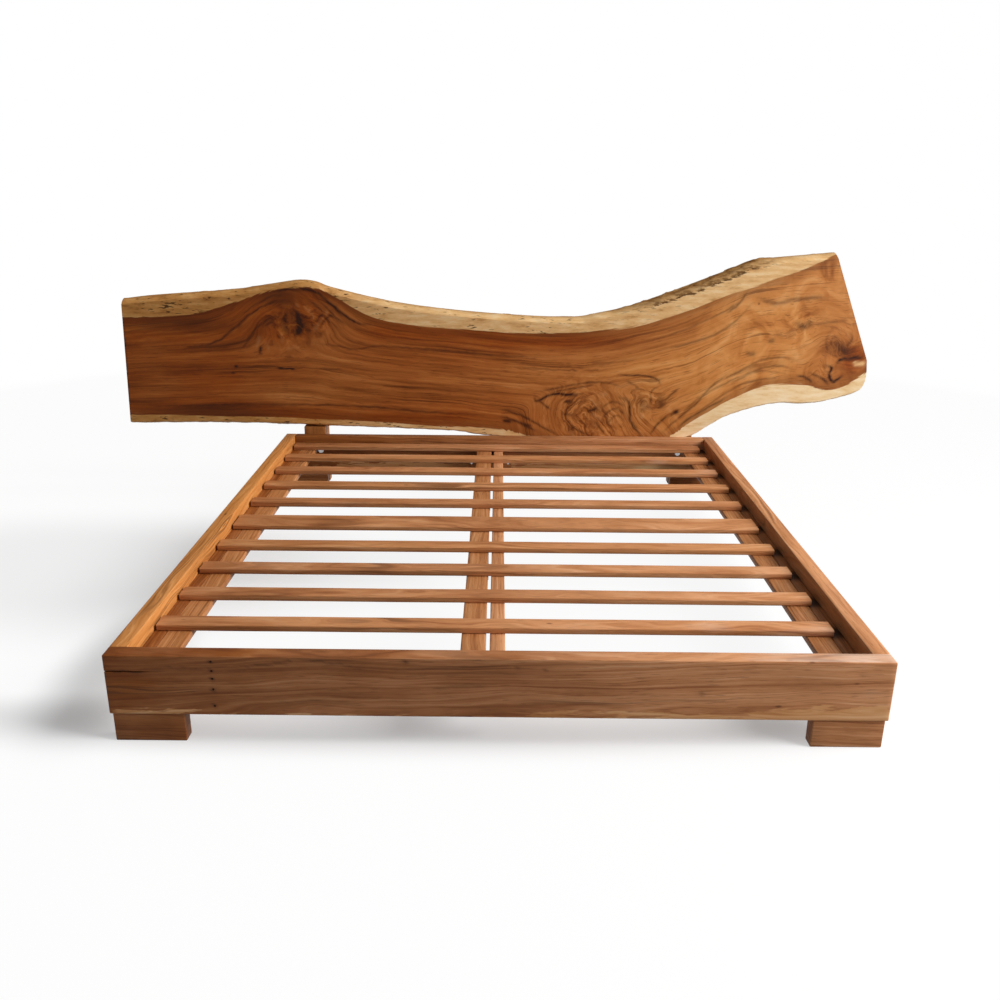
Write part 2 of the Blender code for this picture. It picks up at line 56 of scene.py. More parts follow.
# Camera, fitted to the corners of the bed frame in the photograph
IMAGE_PX = 1000
FOCAL_PX = 907.08
AXIS_PX = (492.23, 475.11)
SENSOR_MM = 36.0
CAMERA_PLACE = (-0.0092, -3.146, 1.430)
CAMERA_PITCH = 0.3150
CAMERA_YAW = -0.0054
CAMERA_ROLL = 0.0069

# Slab: the live edges as in the part's source, as points (x, height above the rails' tops)
TOP_EDGE = (
    (-1.753, 0.636), (-1.600, 0.654), (-1.240, 0.682), (-1.060, 0.709), (-0.940, 0.726), (-0.858, 0.721),
    (-0.765, 0.690), (-0.470, 0.626), (-0.100, 0.585), (0.300, 0.566), (0.466, 0.588), (0.651, 0.636),
    (1.011, 0.773), (1.141, 0.828), (1.250, 0.843), (1.520, 0.867),
)
BOTTOM_EDGE = (
    (-1.776, 0.041), (-1.258, 0.046), (-0.773, 0.033), (-0.248, 0.015), (-0.083, -0.005), (0.250, -0.030),
    (0.550, -0.046), (0.780, -0.038), (0.927, -0.002), (1.065, 0.086), (1.158, 0.124), (1.251, 0.150),
    (1.346, 0.165), (1.442, 0.163), (1.536, 0.172), (1.629, 0.197), (1.680, 0.214), (1.718, 0.238),
    (1.732, 0.290), (1.725, 0.366),
)
# Where heartwood gives way to sapwood on the slab's front, as points (x, height over the floor)
UPPER_SAPWOOD = (
    (-1.780, 0.812), (-1.600, 0.815), (-1.440, 0.823), (-1.321, 0.852), (-1.154, 0.908), (-1.036, 0.943),
    (-0.921, 0.953), (-0.838, 0.947), (-0.762, 0.911), (-0.626, 0.834), (-0.488, 0.798), (-0.280, 0.772),
    (0.000, 0.756), (0.302, 0.755), (0.464, 0.764), (0.649, 0.793), (0.830, 0.850), (1.186, 0.982),
    (1.362, 1.044), (1.520, 1.117),
)
LOWER_SAPWOOD = (
    (-1.780, 0.347), (-1.400, 0.342), (-1.000, 0.336), (-0.600, 0.318), (-0.300, 0.304), (-0.090, 0.296),
    (0.050, 0.280), (0.160, 0.252), (0.350, 0.230), (0.600, 0.226), (0.780, 0.240), (0.838, 0.270),
    (0.932, 0.340), (1.058, 0.418), (1.180, 0.484), (1.280, 0.518), (1.430, 0.520), (1.520, 0.497),
    (1.610, 0.503), (1.740, 0.590),
)
SLAB_STATIONS = 540
FACE_ROWS = 121
FACE_ROWS_PER_BACK_ROW = 4
BACK_ROWS = (FACE_ROWS - 1) // FACE_ROWS_PER_BACK_ROW + 1
WANE_ROWS = 9
ROUND_ROWS = 4
CAP_COLUMNS = 5
CURVE_STEPS = 16
TOP_WANE = 0.026
ROUGH_WANE = 0.038
ROUGH_WANE_SPAN = (0.48, 1.34)
BOTTOM_WANE = 0.013
BACK_ROUND = 0.008
TOP_CREST_DEPTH_SHARE = 0.7
BOTTOM_CREST_DEPTH_SHARE = 0.6
# The wane bends towards a corner: shares of the wane's height under the crest and of the thickness
WANE_CORNER_DROP = 0.15
WANE_CORNER_DEPTH = 0.2
# How long the wane takes to turn rough and even again, and how its height wavers
ROUGH_WANE_RISE = 0.25
ROUGH_WANE_FALL = 0.20
WANE_WAVES_PER_METRE = 14
WANE_WAVER = 0.008
EVEN_WANE_WAVER_SHARE = 0.4
WANE_NOISE_SHIFT = 3.0
# Lumps and pits of the wane: waves per metre, size on any wane, and what a rough wane adds
LUMP_WAVES = (11.0, 16.0, 16.0)
LUMP_HEIGHT = 0.0022
ROUGH_LUMP_HEIGHT = 0.0030
PIT_WAVES = (34.0, 60.0, 60.0)
PIT_NOISE_SHIFT = 5.0
PIT_SHARE = 0.6
PIT_DEPTH = 0.0015
ROUGH_PIT_DEPTH = 0.0025
RIM_REACH = 0.007
# Bark on the wane: all over a rough one, growing over a rough one, painted shade growing over any towards its
# crest, at the crest, underneath
ROUGH_BARK = 0.40
ROUGH_BARK_RISE = 0.50
WANE_PAINTED_SHADE_RISE = 0.25
CREST_BARK = 0.6
BOTTOM_BARK = 0.35
SAPWOOD_POINTS = 200
SHARP_ANGLE = math.radians(40)

# Growth of the slab's wood: lines that run along the trunk, rise over a hump, wrap round a branch
# and curl in burls
PITH_SHARE = 0.47
TRUNK_RADIUS = 0.30
RING_BLEND = 0.020
FIGURE_REACH = 0.17
HUMP_FIGURE_REACH = 0.7 * FIGURE_REACH
HUMP_X = -0.980
HUMP_SPREAD = 0.230
HUMP_FROM = 0.600
HUMP_TO = 0.880
HUMP_LIFT = 0.170
HUMP_MIDDLE = (-0.970, 0.770)
BRANCH_FROM = (0.640, 0.040)
BRANCH_TO = (0.400, 0.365)
BRANCH_GROWTH = 0.178
BRANCH_FALL = 1.10
BRANCH_PITH = 0.02
BURLS = (
    # middle (x, z), reach, turn of the grain
    (-1.050, 0.790, 0.060, 0.9),
    (-0.870, 0.815, 0.090, -0.9),
    (0.690, 0.420, 0.090, 0.8),
    (1.587, 0.700, 0.095, 1.3),
    (1.400, 0.790, 0.090, -0.6),
    (1.540, 0.570, 0.050, 0.9),
)
# Small waves of the grain
GRAIN_RIPPLES = (
    # amount, waves per metre along x, z and the depth, octaves of noise, whether only where it is wild
    (0.006, (2.2, 7.0, 7.0), 3, False),
    (0.006, (14.0, 18.0, 18.0), 2, True),
    (0.004, (34.0, 34.0, 34.0), 2, True),
)
# Towards its right end the heartwood is cloudy all over, from the first x to the second
CLOUDY_SPAN = (0.70, 1.15)
# How golden the heartwood is, along the slab, and patches of it that are more golden, or darker below 0:
# partly the wood's own tone and partly painted light and shade, darker towards the left end where the light
# falls off
GOLDEN_AND_PAINTED_LIGHT = ((-1.75, 0.02), (-1.00, 0.12), (0.00, 0.24), (0.60, 0.60), (1.00, 0.82), (1.75, 0.74))
GOLDEN_PATCHES = (
    # middle (x, z), half spans, amount
    (-1.450, 0.775, 0.350, 0.055, -0.62),
    (-1.020, 0.905, 0.130, 0.045, -0.55),
    (-0.970, 0.800, 0.110, 0.080, -0.34),
    (-1.350, 0.355, 0.450, 0.040, -0.45),
    (-1.250, 0.580, 0.200, 0.060, 0.08),
    (-0.980, 0.450, 0.300, 0.060, 0.32),
    (-0.780, 0.740, 0.120, 0.050, 0.18),
    (-0.450, 0.500, 0.400, 0.100, 0.22),
    (-0.350, 0.745, 0.350, 0.040, -0.28),
    (-0.350, 0.340, 0.350, 0.030, -0.22),
    (0.330, 0.715, 0.420, 0.045, -0.48),
    (0.100, 0.550, 0.300, 0.060, 0.10),
    (0.430, 0.370, 0.300, 0.110, 0.08),
    (0.640, 0.590, 0.200, 0.070, 0.34),
    (0.980, 0.620, 0.200, 0.120, 0.24),
    (1.130, 0.550, 0.200, 0.060, 0.18),
    (1.380, 0.750, 0.150, 0.100, 0.16),
    (1.580, 0.640, 0.130, 0.200, -0.46),
    (1.670, 0.640, 0.060, 0.070, -0.70),
)
# Soft clouds in the golden tone: how much, and waves per metre along x, z and y
GOLDEN_CLOUDS = 0.18
GOLDEN_WAVES = (2.6, 5.0, 5.0)
# Strokes that stand out in the figure: dark, or light below 0, half-width, points (x, z)
FIGURE_STROKES = (
    # over and beside the hump
    (0.60, 0.0060, ((-1.517, 0.678), (-1.397, 0.682), (-1.310, 0.709), (-1.247, 0.757), (-1.158, 0.829),
                    (-1.072, 0.877), (-1.000, 0.891), (-0.954, 0.877))),
    (0.75, 0.0080, ((-1.091, 0.925), (-0.996, 0.943), (-0.902, 0.944), (-0.845, 0.931), (-0.788, 0.885),
                    (-0.732, 0.832), (-0.662, 0.792), (-0.579, 0.784))),
    (0.50, 0.0060, ((-0.823, 0.902), (-0.754, 0.856), (-0.720, 0.815))),
    (0.40, 0.0060, ((-1.179, 0.718), (-1.117, 0.781), (-1.047, 0.821), (-1.001, 0.843))),
    (0.35, 0.0060, ((-1.101, 0.775), (-1.060, 0.798), (-1.018, 0.826))),
    (0.60, 0.0150, ((-0.995, 0.843), (-1.004, 0.787), (-0.985, 0.731))),
    (0.95, 0.0190, ((-0.945, 0.838), (-0.931, 0.777), (-0.957, 0.731))),
    (0.60, 0.0070, ((-0.868, 0.794), (-0.816, 0.834))),
    (0.60, 0.0090, ((-0.910, 0.760), (-0.882, 0.749))),
    (0.55, 0.0060, ((-0.842, 0.766), (-0.788, 0.828), (-0.734, 0.784))),
    (0.70, 0.0080, ((-1.119, 0.679), (-1.127, 0.644))),
    (0.45, 0.0060, ((-1.161, 0.730), (-1.205, 0.672))),
    (-0.14, 0.0080, ((-1.137, 0.673), (-1.124, 0.730))),
    (-0.14, 0.0080, ((-1.019, 0.697), (-1.018, 0.748))),
    (-0.12, 0.0080, ((-1.086, 0.662), (-1.092, 0.708))),
    (-0.12, 0.0080, ((-0.948, 0.880), (-0.917, 0.827))),
    (-0.20, 0.0090, ((-0.877, 0.749), (-0.835, 0.794), (-0.786, 0.862))),
    (-0.15, 0.0080, ((-0.909, 0.872), (-0.872, 0.828), (-0.864, 0.777))),
    (-0.12, 0.0090, ((-0.994, 0.674), (-0.931, 0.680))),
    (0.50, 0.0050, ((-0.870, 0.912), (-0.812, 0.872), (-0.762, 0.820), (-0.700, 0.776))),
    (0.40, 0.0050, ((-0.900, 0.905), (-0.846, 0.866), (-0.800, 0.806), (-0.745, 0.760))),
    (0.40, 0.0050, ((-1.230, 0.800), (-1.140, 0.868), (-1.050, 0.912), (-0.960, 0.920))),
    # along the left half
    # painted shade down the slab's left end
    (0.60, 0.0060, ((-1.776, 0.330), (-1.754, 0.820))),
    (0.45, 0.0050, ((-0.905, 0.700), (-0.798, 0.689), (-0.679, 0.672), (-0.559, 0.685), (-0.380, 0.675),
                    (-0.200, 0.664), (0.001, 0.647))),
    (0.50, 0.0060, ((-1.754, 0.387), (-1.423, 0.392), (-1.056, 0.399), (-0.690, 0.396), (-0.324, 0.368),
                    (0.003, 0.352))),
    (0.45, 0.0050, ((-0.468, 0.677), (-0.274, 0.663), (-0.050, 0.650), (0.160, 0.637))),
    (0.95, 0.0040, ((-1.056, 0.577), (-0.960, 0.573))),
    (0.55, 0.0040, ((-0.851, 0.576), (-0.743, 0.572))),
    (0.95, 0.0060, ((-1.249, 0.585), (-1.241, 0.585))),
    (0.95, 0.0050, ((-1.265, 0.552), (-1.259, 0.552))),
    # the flame above the lower branch
    (0.85, 0.0070, ((0.166, 0.462), (0.177, 0.426), (0.246, 0.461), (0.323, 0.460), (0.393, 0.464))),
    (0.65, 0.0060, ((0.184, 0.433), (0.241, 0.387))),
    (0.50, 0.0050, ((0.156, 0.472), (0.280, 0.493), (0.391, 0.515), (0.502, 0.520), (0.600, 0.492))),
    (0.50, 0.0050, ((0.232, 0.469), (0.350, 0.490), (0.453, 0.510))),
    (0.75, 0.0070, ((0.561, 0.449), (0.614, 0.430), (0.629, 0.336), (0.683, 0.264))),
    (0.45, 0.0050, ((0.495, 0.353), (0.549, 0.393), (0.607, 0.365))),
    (0.40, 0.0050, ((0.511, 0.317), (0.565, 0.361), (0.605, 0.325))),
    (0.40, 0.0050, ((0.486, 0.393), (0.541, 0.428), (0.598, 0.405))),
    (0.60, 0.0090, ((0.310, 0.427), (0.338, 0.426))),
    (0.50, 0.0070, ((0.312, 0.364), (0.347, 0.361))),
    (0.60, 0.0080, ((0.424, 0.382), (0.469, 0.396))),
    (0.50, 0.0060, ((0.454, 0.335), (0.510, 0.266))),
    (0.45, 0.0050, ((0.335, 0.305), (0.428, 0.262))),
    (0.60, 0.0060, ((0.003, 0.389), (0.109, 0.354), (0.216, 0.296), (0.287, 0.260))),
    (0.60, 0.0070, ((0.003, 0.356), (0.088, 0.324), (0.188, 0.274))),
    (0.70, 0.0100, ((0.018, 0.330), (0.053, 0.326))),
    (0.60, 0.0090, ((0.102, 0.317), (0.155, 0.302))),
    (0.70, 0.0050, ((0.548, 0.557), (0.673, 0.554), (0.743, 0.539), (0.766, 0.506))),
    (0.50, 0.0050, ((0.752, 0.502), (0.721, 0.474), (0.723, 0.409))),
    (0.40, 0.0050, ((0.598, 0.529), (0.641, 0.508), (0.663, 0.480))),
    (0.50, 0.0060, ((0.850, 0.496), (0.798, 0.446), (0.786, 0.417))),
    (0.55, 0.0060, ((0.725, 0.264), (0.764, 0.323), (0.810, 0.367))),
    (0.55, 0.0060, ((0.781, 0.272), (0.867, 0.360), (0.932, 0.418), (0.996, 0.497), (1.080, 0.568))),
    (0.50, 0.0060, ((0.843, 0.294), (0.936, 0.368), (1.050, 0.433), (1.095, 0.462))),
    (0.75, 0.0110, ((0.821, 0.365), (0.854, 0.385))),
    (0.40, 0.0240, ((0.673, 0.437), (0.690, 0.387))),
    (0.40, 0.0220, ((0.763, 0.445), (0.772, 0.410))),
    (-0.25, 0.0080, ((0.672, 0.337), (0.711, 0.388))),
    (-0.28, 0.0080, ((0.801, 0.403), (0.862, 0.331))),
    (-0.25, 0.0090, ((0.438, 0.371), (0.489, 0.335))),
    (-0.25, 0.0120, ((0.480, 0.464), (0.501, 0.461))),
    # the right end
    (0.45, 0.0100, ((1.167, 0.925), (1.273, 0.898), (1.337, 0.913), (1.429, 0.922), (1.518, 0.921))),
    (0.45, 0.0060, ((1.141, 0.958), (1.095, 0.892), (1.038, 0.848))),
    (0.80, 0.0040, ((1.188, 0.898), (1.191, 0.897))),
    (0.50, 0.0140, ((1.369, 0.808), (1.411, 0.792), (1.442, 0.816))),
    (0.35, 0.0070, ((1.444, 0.797), (1.513, 0.810), (1.611, 0.822))),
    (0.50, 0.0100, ((1.255, 0.726), (1.272, 0.725))),
    (0.40, 0.0120, ((1.159, 0.666), (1.192, 0.664))),
    (0.40, 0.0070, ((1.624, 0.770), (1.636, 0.732), (1.599, 0.691), (1.547, 0.707), (1.548, 0.736),
                    (1.587, 0.746))),
    (0.35, 0.0060, ((1.537, 0.769), (1.519, 0.721), (1.542, 0.669), (1.599, 0.655), (1.651, 0.694),
                    (1.661, 0.742))),
    (0.50, 0.0340, ((1.559, 0.707), (1.625, 0.674))),
    (0.95, 0.0080, ((1.575, 0.610), (1.599, 0.636), (1.652, 0.645), (1.705, 0.645))),
    (0.95, 0.0070, ((1.523, 0.611), (1.557, 0.601), (1.552, 0.562), (1.575, 0.533), (1.617, 0.564))),
    (0.70, 0.0060, ((1.399, 0.561), (1.454, 0.546), (1.478, 0.522))),
    (0.65, 0.0060, ((1.460, 0.576), (1.521, 0.547), (1.560, 0.517))),
    (-1.60, 0.0120, ((1.665, 0.621), (1.709, 0.621))),
    (0.40, 0.0060, ((1.041, 0.534), (1.133, 0.583), (1.224, 0.632), (1.318, 0.647), (1.406, 0.629))),
    (0.45, 0.0060, ((1.073, 0.505), (1.159, 0.559), (1.242, 0.599), (1.322, 0.604), (1.391, 0.588))),
    (0.40, 0.0050, ((0.820, 0.307), (0.938, 0.439), (1.058, 0.515), (1.178, 0.572), (1.271, 0.580),
                    (1.399, 0.556))),
    (0.40, 0.0050, ((0.898, 0.332), (1.003, 0.423), (1.122, 0.505), (1.214, 0.538), (1.323, 0.547))),
    (0.38, 0.0050, ((0.638, 0.707), (0.791, 0.748), (0.941, 0.811), (1.059, 0.873), (1.152, 0.942))),
    (0.38, 0.0050, ((0.733, 0.677), (0.886, 0.709), (1.007, 0.757), (1.094, 0.819), (1.163, 0.904))),
)
STROKE_POINTS = 24
# Strokes waver by this much, with so many waves per metre, and by other noise across than along
STROKE_WAVER = 0.004
STROKE_WAVES = 26.0
STROKE_NOISE_SHIFT = 40.0
# Half-widths beyond which a stroke is not drawn, and how steeply it fades in and out along its way
STROKE_REACH = 4
STROKE_FADE = 5

# Boards
BOARD_EASE = 0.003
CORNER_STEPS = 3
BOARD_STEPS = (0.050, 0.030)
FOOT_RAIL_STEPS = (0.012, 0.007)
# The faces are uneven by this much, with these waves per metre along and across the grain
BOARD_UNDULATION = 0.0004
BOARD_WAVES = (3.0, 9.0, 9.0)
# What sets each board's noise and grain apart from the next one's
BOARD_NOISE_SHIFT = 7.3
BOARD_GRAIN_SHIFT = 11.0
# Where a board's pith may lie in its section, and how far the grain may slope
PITH_LOW = (-0.05, -0.16)
PITH_HIGH = (0.05, -0.07)
GRAIN_SLOPE = 0.02
# The foot rail and the head rail are dark at the left end and paler towards the right one, partly in the
# wood's own tone and partly as painted light, where the light falls from the right; the foot rail's top goes
# from painted shade at its left end to a painted sheen at its right one
FOOT_RAIL_TONE_AND_PAINTED_LIGHT = ((-1.025, 0.05), (-0.500, 0.38), (0.000, 0.52), (0.400, 0.76), (1.025, 0.95))
FOOT_RAIL_TOP_PAINTED_LIGHT = (
    (-1.025, 0.02), (-0.400, 0.22), (0.050, 0.30), (0.300, 0.75), (0.600, 1.10), (1.025, 1.36),
)
HEAD_RAIL_TONE_AND_PAINTED_LIGHT = ((-0.977, -0.15), (-0.300, 0.20), (0.400, 0.78), (0.977, 1.00))
# The left side rail is palest next to the foot rail
LEFT_RAIL_LIGHT = ((-1.025, 0.95), (0.000, 0.60), (1.025, 0.20))
# Painted light and shade along the slats: darker at their left ends, and the middle ones more than the others
SLAT_END_PAINTED_LIGHT = ((-0.970, -0.38), (-0.450, -0.12), (0.000, 0.00), (0.950, 0.12))
# The stain round each peg: how dark, half-width, half-length
PEG_STAIN_DARK = 0.9
PEG_STAIN = 0.0050
PEG_STAIN_HALF_LENGTH = 0.001
# Painted shade on the right cleat beside the slats' ends: how dark, and how far from a slat's middle
CLEAT_PAINTED_SHADE = 1.00
CLEAT_PAINTED_SHADE_REACH = 0.038
CLEAT_STEPS = (0.015, 0.010)
# Sapwood left along the lower edge: points (way along the board, height of the pale strip)
FOOT_RAIL_SAPWOOD = (
    (-1.025, 0.030), (-0.820, 0.030), (-0.660, 0.022), (0.000, 0.014), (0.150, 0.028), (0.600, 0.044),
    (0.850, 0.064), (1.025, 0.070),
)
HEAD_RAIL_SAPWOOD = (
    (-0.980, 0.020), (-0.897, 0.035), (-0.703, 0.070), (0.450, 0.072), (0.620, 0.092), (0.700, 0.112),
    (0.840, 0.106), (0.980, 0.050),
)
# Fine dark lines and pin knots on the foot rail's face, as the slab's strokes; the first is painted shade along
# the crack
FOOT_RAIL_STROKES = (
    (0.85, 0.0030, ((-1.024, 0.2112), (-0.960, 0.2108), (-0.905, 0.2098))),
    (0.50, 0.0032, ((-0.932, 0.2194), (-0.850, 0.2239), (-0.775, 0.2218), (-0.696, 0.2260))),
    (0.55, 0.0032, ((-0.696, 0.218), (-0.597, 0.236), (-0.506, 0.251), (-0.417, 0.238), (-0.328, 0.225))),
    (0.75, 0.0055, ((-0.247, 0.248), (-0.232, 0.248))),
    (0.60, 0.0038, ((0.042, 0.232), (0.056, 0.232))),
    (0.60, 0.0034, ((0.114, 0.229), (0.122, 0.229))),
    (0.60, 0.0050, ((0.521, 0.161), (0.536, 0.161))),
    (0.60, 0.0036, ((0.937, 0.224), (0.948, 0.224))),
    (0.40, 0.0045, ((-0.183, 0.166), (-0.099, 0.177), (-0.016, 0.181))),
    (0.35, 0.0050, ((-0.605, 0.121), (-0.464, 0.128), (-0.352, 0.118))),
    (0.35, 0.0060, ((0.047, 0.127), (0.194, 0.132), (0.333, 0.123))),
)
# A drying crack at the foot rail's left end: height over the floor, opening, depth, length
CRACK_HEIGHT = 0.2105
CRACK_OPENING = 0.0042
CRACK_DEPTH = 0.012
CRACK_LENGTH = 0.150
# From the upper lip over the floor to the lower lip, in openings
CRACK_PROFILE = (0.5, 0.1, -0.1, -0.5)
FACING_FRONT = -0.99

# Slats and small hardware
SLAT_COUNT = 10
SLAT_NODES = [f"slat_{number:02d}" for number in range(1, SLAT_COUNT + 1)]
SLAT_SEED = 11
# How light the slats are, as points (place in the row, light), which is painted light and shade, and what is
# drawn for each slat
SLAT_ROW_PAINTED_LIGHT = ((0, 0.86), (4, 0.78), (9, 0.92))
SLAT_LIGHT_RANGE = (-0.10, 0.10)
SLAT_ORANGE_RANGE = (0.05, 0.25)
SLAT_PITH_ACROSS = (-0.05, 0.05)
SLAT_PITH_BELOW = (-0.14, -0.06)
SLAT_GRAIN_SHIFT = 13.0
SLAT_SECTIONS = 40
SLAT_CORNER_POINTS = 5
SLAT_EASE = 0.0045
# The hand-planed wave: its size, waves per metre, what sets the slats apart, its share on the top face
SLAT_WAVE = 0.0040
SLAT_WAVES_PER_METRE = 2.2
SLAT_NOISE_SHIFT = 7.7
SLAT_TOP_WAVE_SHARE = 0.3
# Screw heads, with their cross recess in shares of the diameter and the height
SCREW_HEAD = 0.0080
SCREW_PROUD = 0.0006
SCREW_SIDES = 16
RECESS_LENGTH = 0.62
RECESS_WIDTH = 0.16
RECESS_LIFT = 0.85
# Screws under a slat in shares of the ledger's and the slat's width, on a corner block from its ends,
# and on a beam block in shares of its length
SLAT_SCREWS = ((0.40, 0.30), (0.70, 0.70))
CORNER_SCREW_INSET = 0.014
BEAM_BLOCK_SCREWS = (0.08, 0.36, 0.64, 0.92)
PEG_COUNT = 5
PEG_NODES = [f"rail_peg_{number}" for number in range(1, PEG_COUNT + 1)]
PEG_PROUD = 0.0005
PEG_SEGMENTS = 20
PEG_RINGS = 10
PEG_ROUGHNESS = 0.0016
PEG_WAVES_PER_METRE = 300.0

# Light and floor
ROOM_LIGHT = 0.25
# What the gloss mirrors: dim on the left and bright on the right, changing between these directions
MIRRORED_LIGHT = (0.15, 1.0)
MIRRORED_SPAN = (-0.4, 0.5)
SUN_STRENGTH = 2.6
SUN_ANGLE = math.radians(35)
SUN_PLACE = (0.80, 0.00, 0.60)
SUN_AIM = (0.0, 0.0, 0.0)
SOFT_BOX_WATTS = 98.0
SOFT_BOX_SIZE = 1.6
SOFT_BOX_PLACE = (3.4, -1.8, 1.8)
SOFT_BOX_AIM = (0.6, 0.3, 0.4)
# The floor as it throws light back and as it is seen, and where it fades into the background
FLOOR_BOUNCE = "#8c8c8c"
FLOOR_SEEN = "#f6f6f6"
FLOOR_REACH = 60.0
FLOOR_FADE = (2.6, 5.0)
# The floor keeps the bed's shadow most round three middles, and it fades between these shares of the spans
SHADOWS = (
    # middle (x, y), half spans, shares of white at the middle and beyond
    ((-0.12, -0.98), (1.20, 0.11), (0.26, 0.93)),
    ((-1.70, 0.05), (0.90, 0.40), (0.50, 0.98)),
    ((-1.16, -0.70), (0.14, 0.30), (0.50, 1.00)),
)
SHADOW_FADE = (0.6, 1.8)

# Oiled wood is duller than varnish
SLAB_GLOSS = 0.14
BOARD_GLOSS = 0.17
PEG_GLOSS = 0.05

# Kinds of node, and settings that many of them share
MATH = "ShaderNodeMath"
VECTOR_MATH = "ShaderNodeVectorMath"
RANGE = "ShaderNodeMapRange"
MIX = "ShaderNodeMix"
RAMP = "ShaderNodeValToRGB"
NOISE = "ShaderNodeTexNoise"
COORDINATES = "ShaderNodeTexCoord"
VALUE_AT = "ShaderNodeAttribute"
COMBINE = "ShaderNodeCombineXYZ"
SEPARATE = "ShaderNodeSeparateXYZ"
POINT_VALUE = "GeometryNodeInputNamedAttribute"
STORE_VALUE = "GeometryNodeStoreNamedAttribute"
COLOUR = {"data_type": "RGBA", "out": 2}
SMOOTH = {"interpolation_type": "SMOOTHSTEP"}


def linear(colour):
    """An sRGB hex colour as linear RGBA."""
    shares = [int(colour[i : i + 2], 16) / 255 for i in (1, 3, 5)]
    return (*[s / 12.92 if s <= 0.04045 else ((s + 0.055) / 1.055) ** 2.4 for s in shares], 1.0)


def add(tree, kind, inputs=None, out=0, ramp=None, **settings):
    """Adds a node with its settings and gives one of its outputs, or all of them where out is None.

    Inputs are values, or sockets to link, and a ramp is (place, hex colour) stops.
    """
    node = tree.nodes.new(kind)
    for name, value in settings.items():
        setattr(node, name, value)
    for key, value in (inputs or {}).items():
        if isinstance(value, bpy.types.NodeSocket):
            tree.links.new(value, node.inputs[key])
        else:
            node.inputs[key].default_value = value
    for number, (place, colour) in enumerate(ramp or ()):
        stops = node.color_ramp.elements
        stop = stops[number] if number < 2 else stops.new(place)
        stop.position = place
        stop.color = linear(colour)
    return node.outputs if out is None else node.outputs[out]


def span(low, high, to_low=0.0, to_high=1.0):
    """Inputs that turn a value of low to high into one of to_low to to_high."""
    return {"From Min": low, "From Max": high, "To Min": to_low, "To Max": to_high}


# Pieces of mesh code that the slab and the boards share


def smooth_line(points, count):
    """A smooth curve through points (Catmull-Rom), read at equal steps along its length."""
    known = np.array(points)
    known = np.vstack([2 * known[0] - known[1], known, 2 * known[-1] - known[-2]])
    t = np.linspace(0, 1, CURVE_STEPS, endpoint=False)[:, None]
    fine = [
        b + ((c - a) * t + (2 * a - 5 * b + 4 * c - d) * t**2 + (3 * b - a - 3 * c + d) * t**3) / 2
        for a, b, c, d in zip(known, known[1:], known[2:], known[3:])
    ]
    fine = np.vstack([*fine, known[-2]])
    walked = np.concatenate([[0.0], np.cumsum(np.linalg.norm(np.diff(fine, axis=0), axis=1))])
    wanted = np.linspace(0.0, walked[-1], count)
    return np.column_stack([np.interp(wanted, walked, fine[:, axis]) for axis in (0, 1)])


def bend(start, corner, end, rows):
    """A smooth bend from start to end, drawn towards a corner; the start itself is left out."""
    t = np.linspace(0, 1, rows + 1)[1:, None]
    start, corner, end = (np.array(point, float) for point in (start, corner, end))
    return (1 - t) ** 2 * start + 2 * t * (1 - t) * corner + t**2 * end


def ripple(points, octaves=2):
    """Smooth noise of about -1 to 1 at each of an array of points."""
    return np.array([noise.fractal(Vector(point), 1.0, 2.0, octaves) for point in points])


def segment_distance(x, z, start, end):
    """The distance of points from a segment."""
    way = np.array(end) - np.array(start)
    share = np.clip(((x - start[0]) * way[0] + (z - start[1]) * way[1]) / (way @ way), 0, 1)
    return np.hypot(x - start[0] - share * way[0], z - start[1] - share * way[1])


def stroked(x, z, strokes):
    """How dark, or light below 0, strokes make the points of a face; they waver and fade at their ends."""
    flat = np.column_stack([x, z, 0 * x])
    x = x + STROKE_WAVER * ripple(flat * STROKE_WAVES)
    z = z + STROKE_WAVER * ripple(flat * STROKE_WAVES + STROKE_NOISE_SHIFT)
    dark, light = np.zeros_like(x), np.zeros_like(x)
    for strength, half_width, points in strokes:
        line = smooth_line(points, STROKE_POINTS)
        reach = STROKE_REACH * half_width
        low, high = line.min(axis=0) - reach, line.max(axis=0) + reach
        near = np.flatnonzero((x > low[0]) & (x < high[0]) & (z > low[1]) & (z < high[1]))
        on = dark if strength > 0 else light
        for number, (start, end) in enumerate(zip(line, line[1:])):
            share = (number + 0.5) / (STROKE_POINTS - 1)
            fade = abs(strength) * min(1.0, STROKE_FADE * share, STROKE_FADE * (1 - share))
            away = segment_distance(x[near], z[near], start, end)
            on[near] = np.maximum(on[near], fade * np.exp(-((away / half_width) ** 2)))
    return dark - light


def quads(index, closed):
    """The faces between the rows of a grid of point numbers, each row closed to a ring or left open."""
    beside = np.roll(index, -1, axis=1)
    if not closed:
        index, beside = index[:, :-1], index[:, 1:]
    return np.stack([index[:-1], index[1:], beside[1:], beside[:-1]], axis=-1).reshape(-1, 4).tolist()


def closed_mesh(name, points, faces):
    """A closed mesh with its faces turned outwards, smooth but for its sharp edges."""
    mesh = bpy.data.meshes.new(name)
    mesh.from_pydata(np.asarray(points).tolist(), [], faces)
    shell = bmesh.new()
    shell.from_mesh(mesh)
    bmesh.ops.recalc_face_normals(shell, faces=shell.faces)
    shell.to_mesh(mesh)
    shell.free()
    mesh.shade_smooth()
    mesh.set_sharp_from_angle(angle=SHARP_ANGLE)
    return mesh


def store(mesh, name, kind, values, domain="POINT"):
    """A named value at each point, or face, of a mesh."""
    attribute = mesh.attributes.new(name, kind, domain)
    field = "vector" if kind == "FLOAT_VECTOR" else "value"
    attribute.data.foreach_set(field, np.asarray(values, np.float32).ravel())


def new_piece(name, mesh, material, slot, *nodes):
    """A finished piece that rides on the bed and stands for these CAD nodes."""
    piece = bpy.data.objects.new(name, mesh)
    bpy.context.scene.collection.objects.link(piece)
    mesh.materials.clear()
    mesh.materials.append(material)
    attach(piece, "root")
    if nodes:
        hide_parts(*nodes)


# The live-edge slab


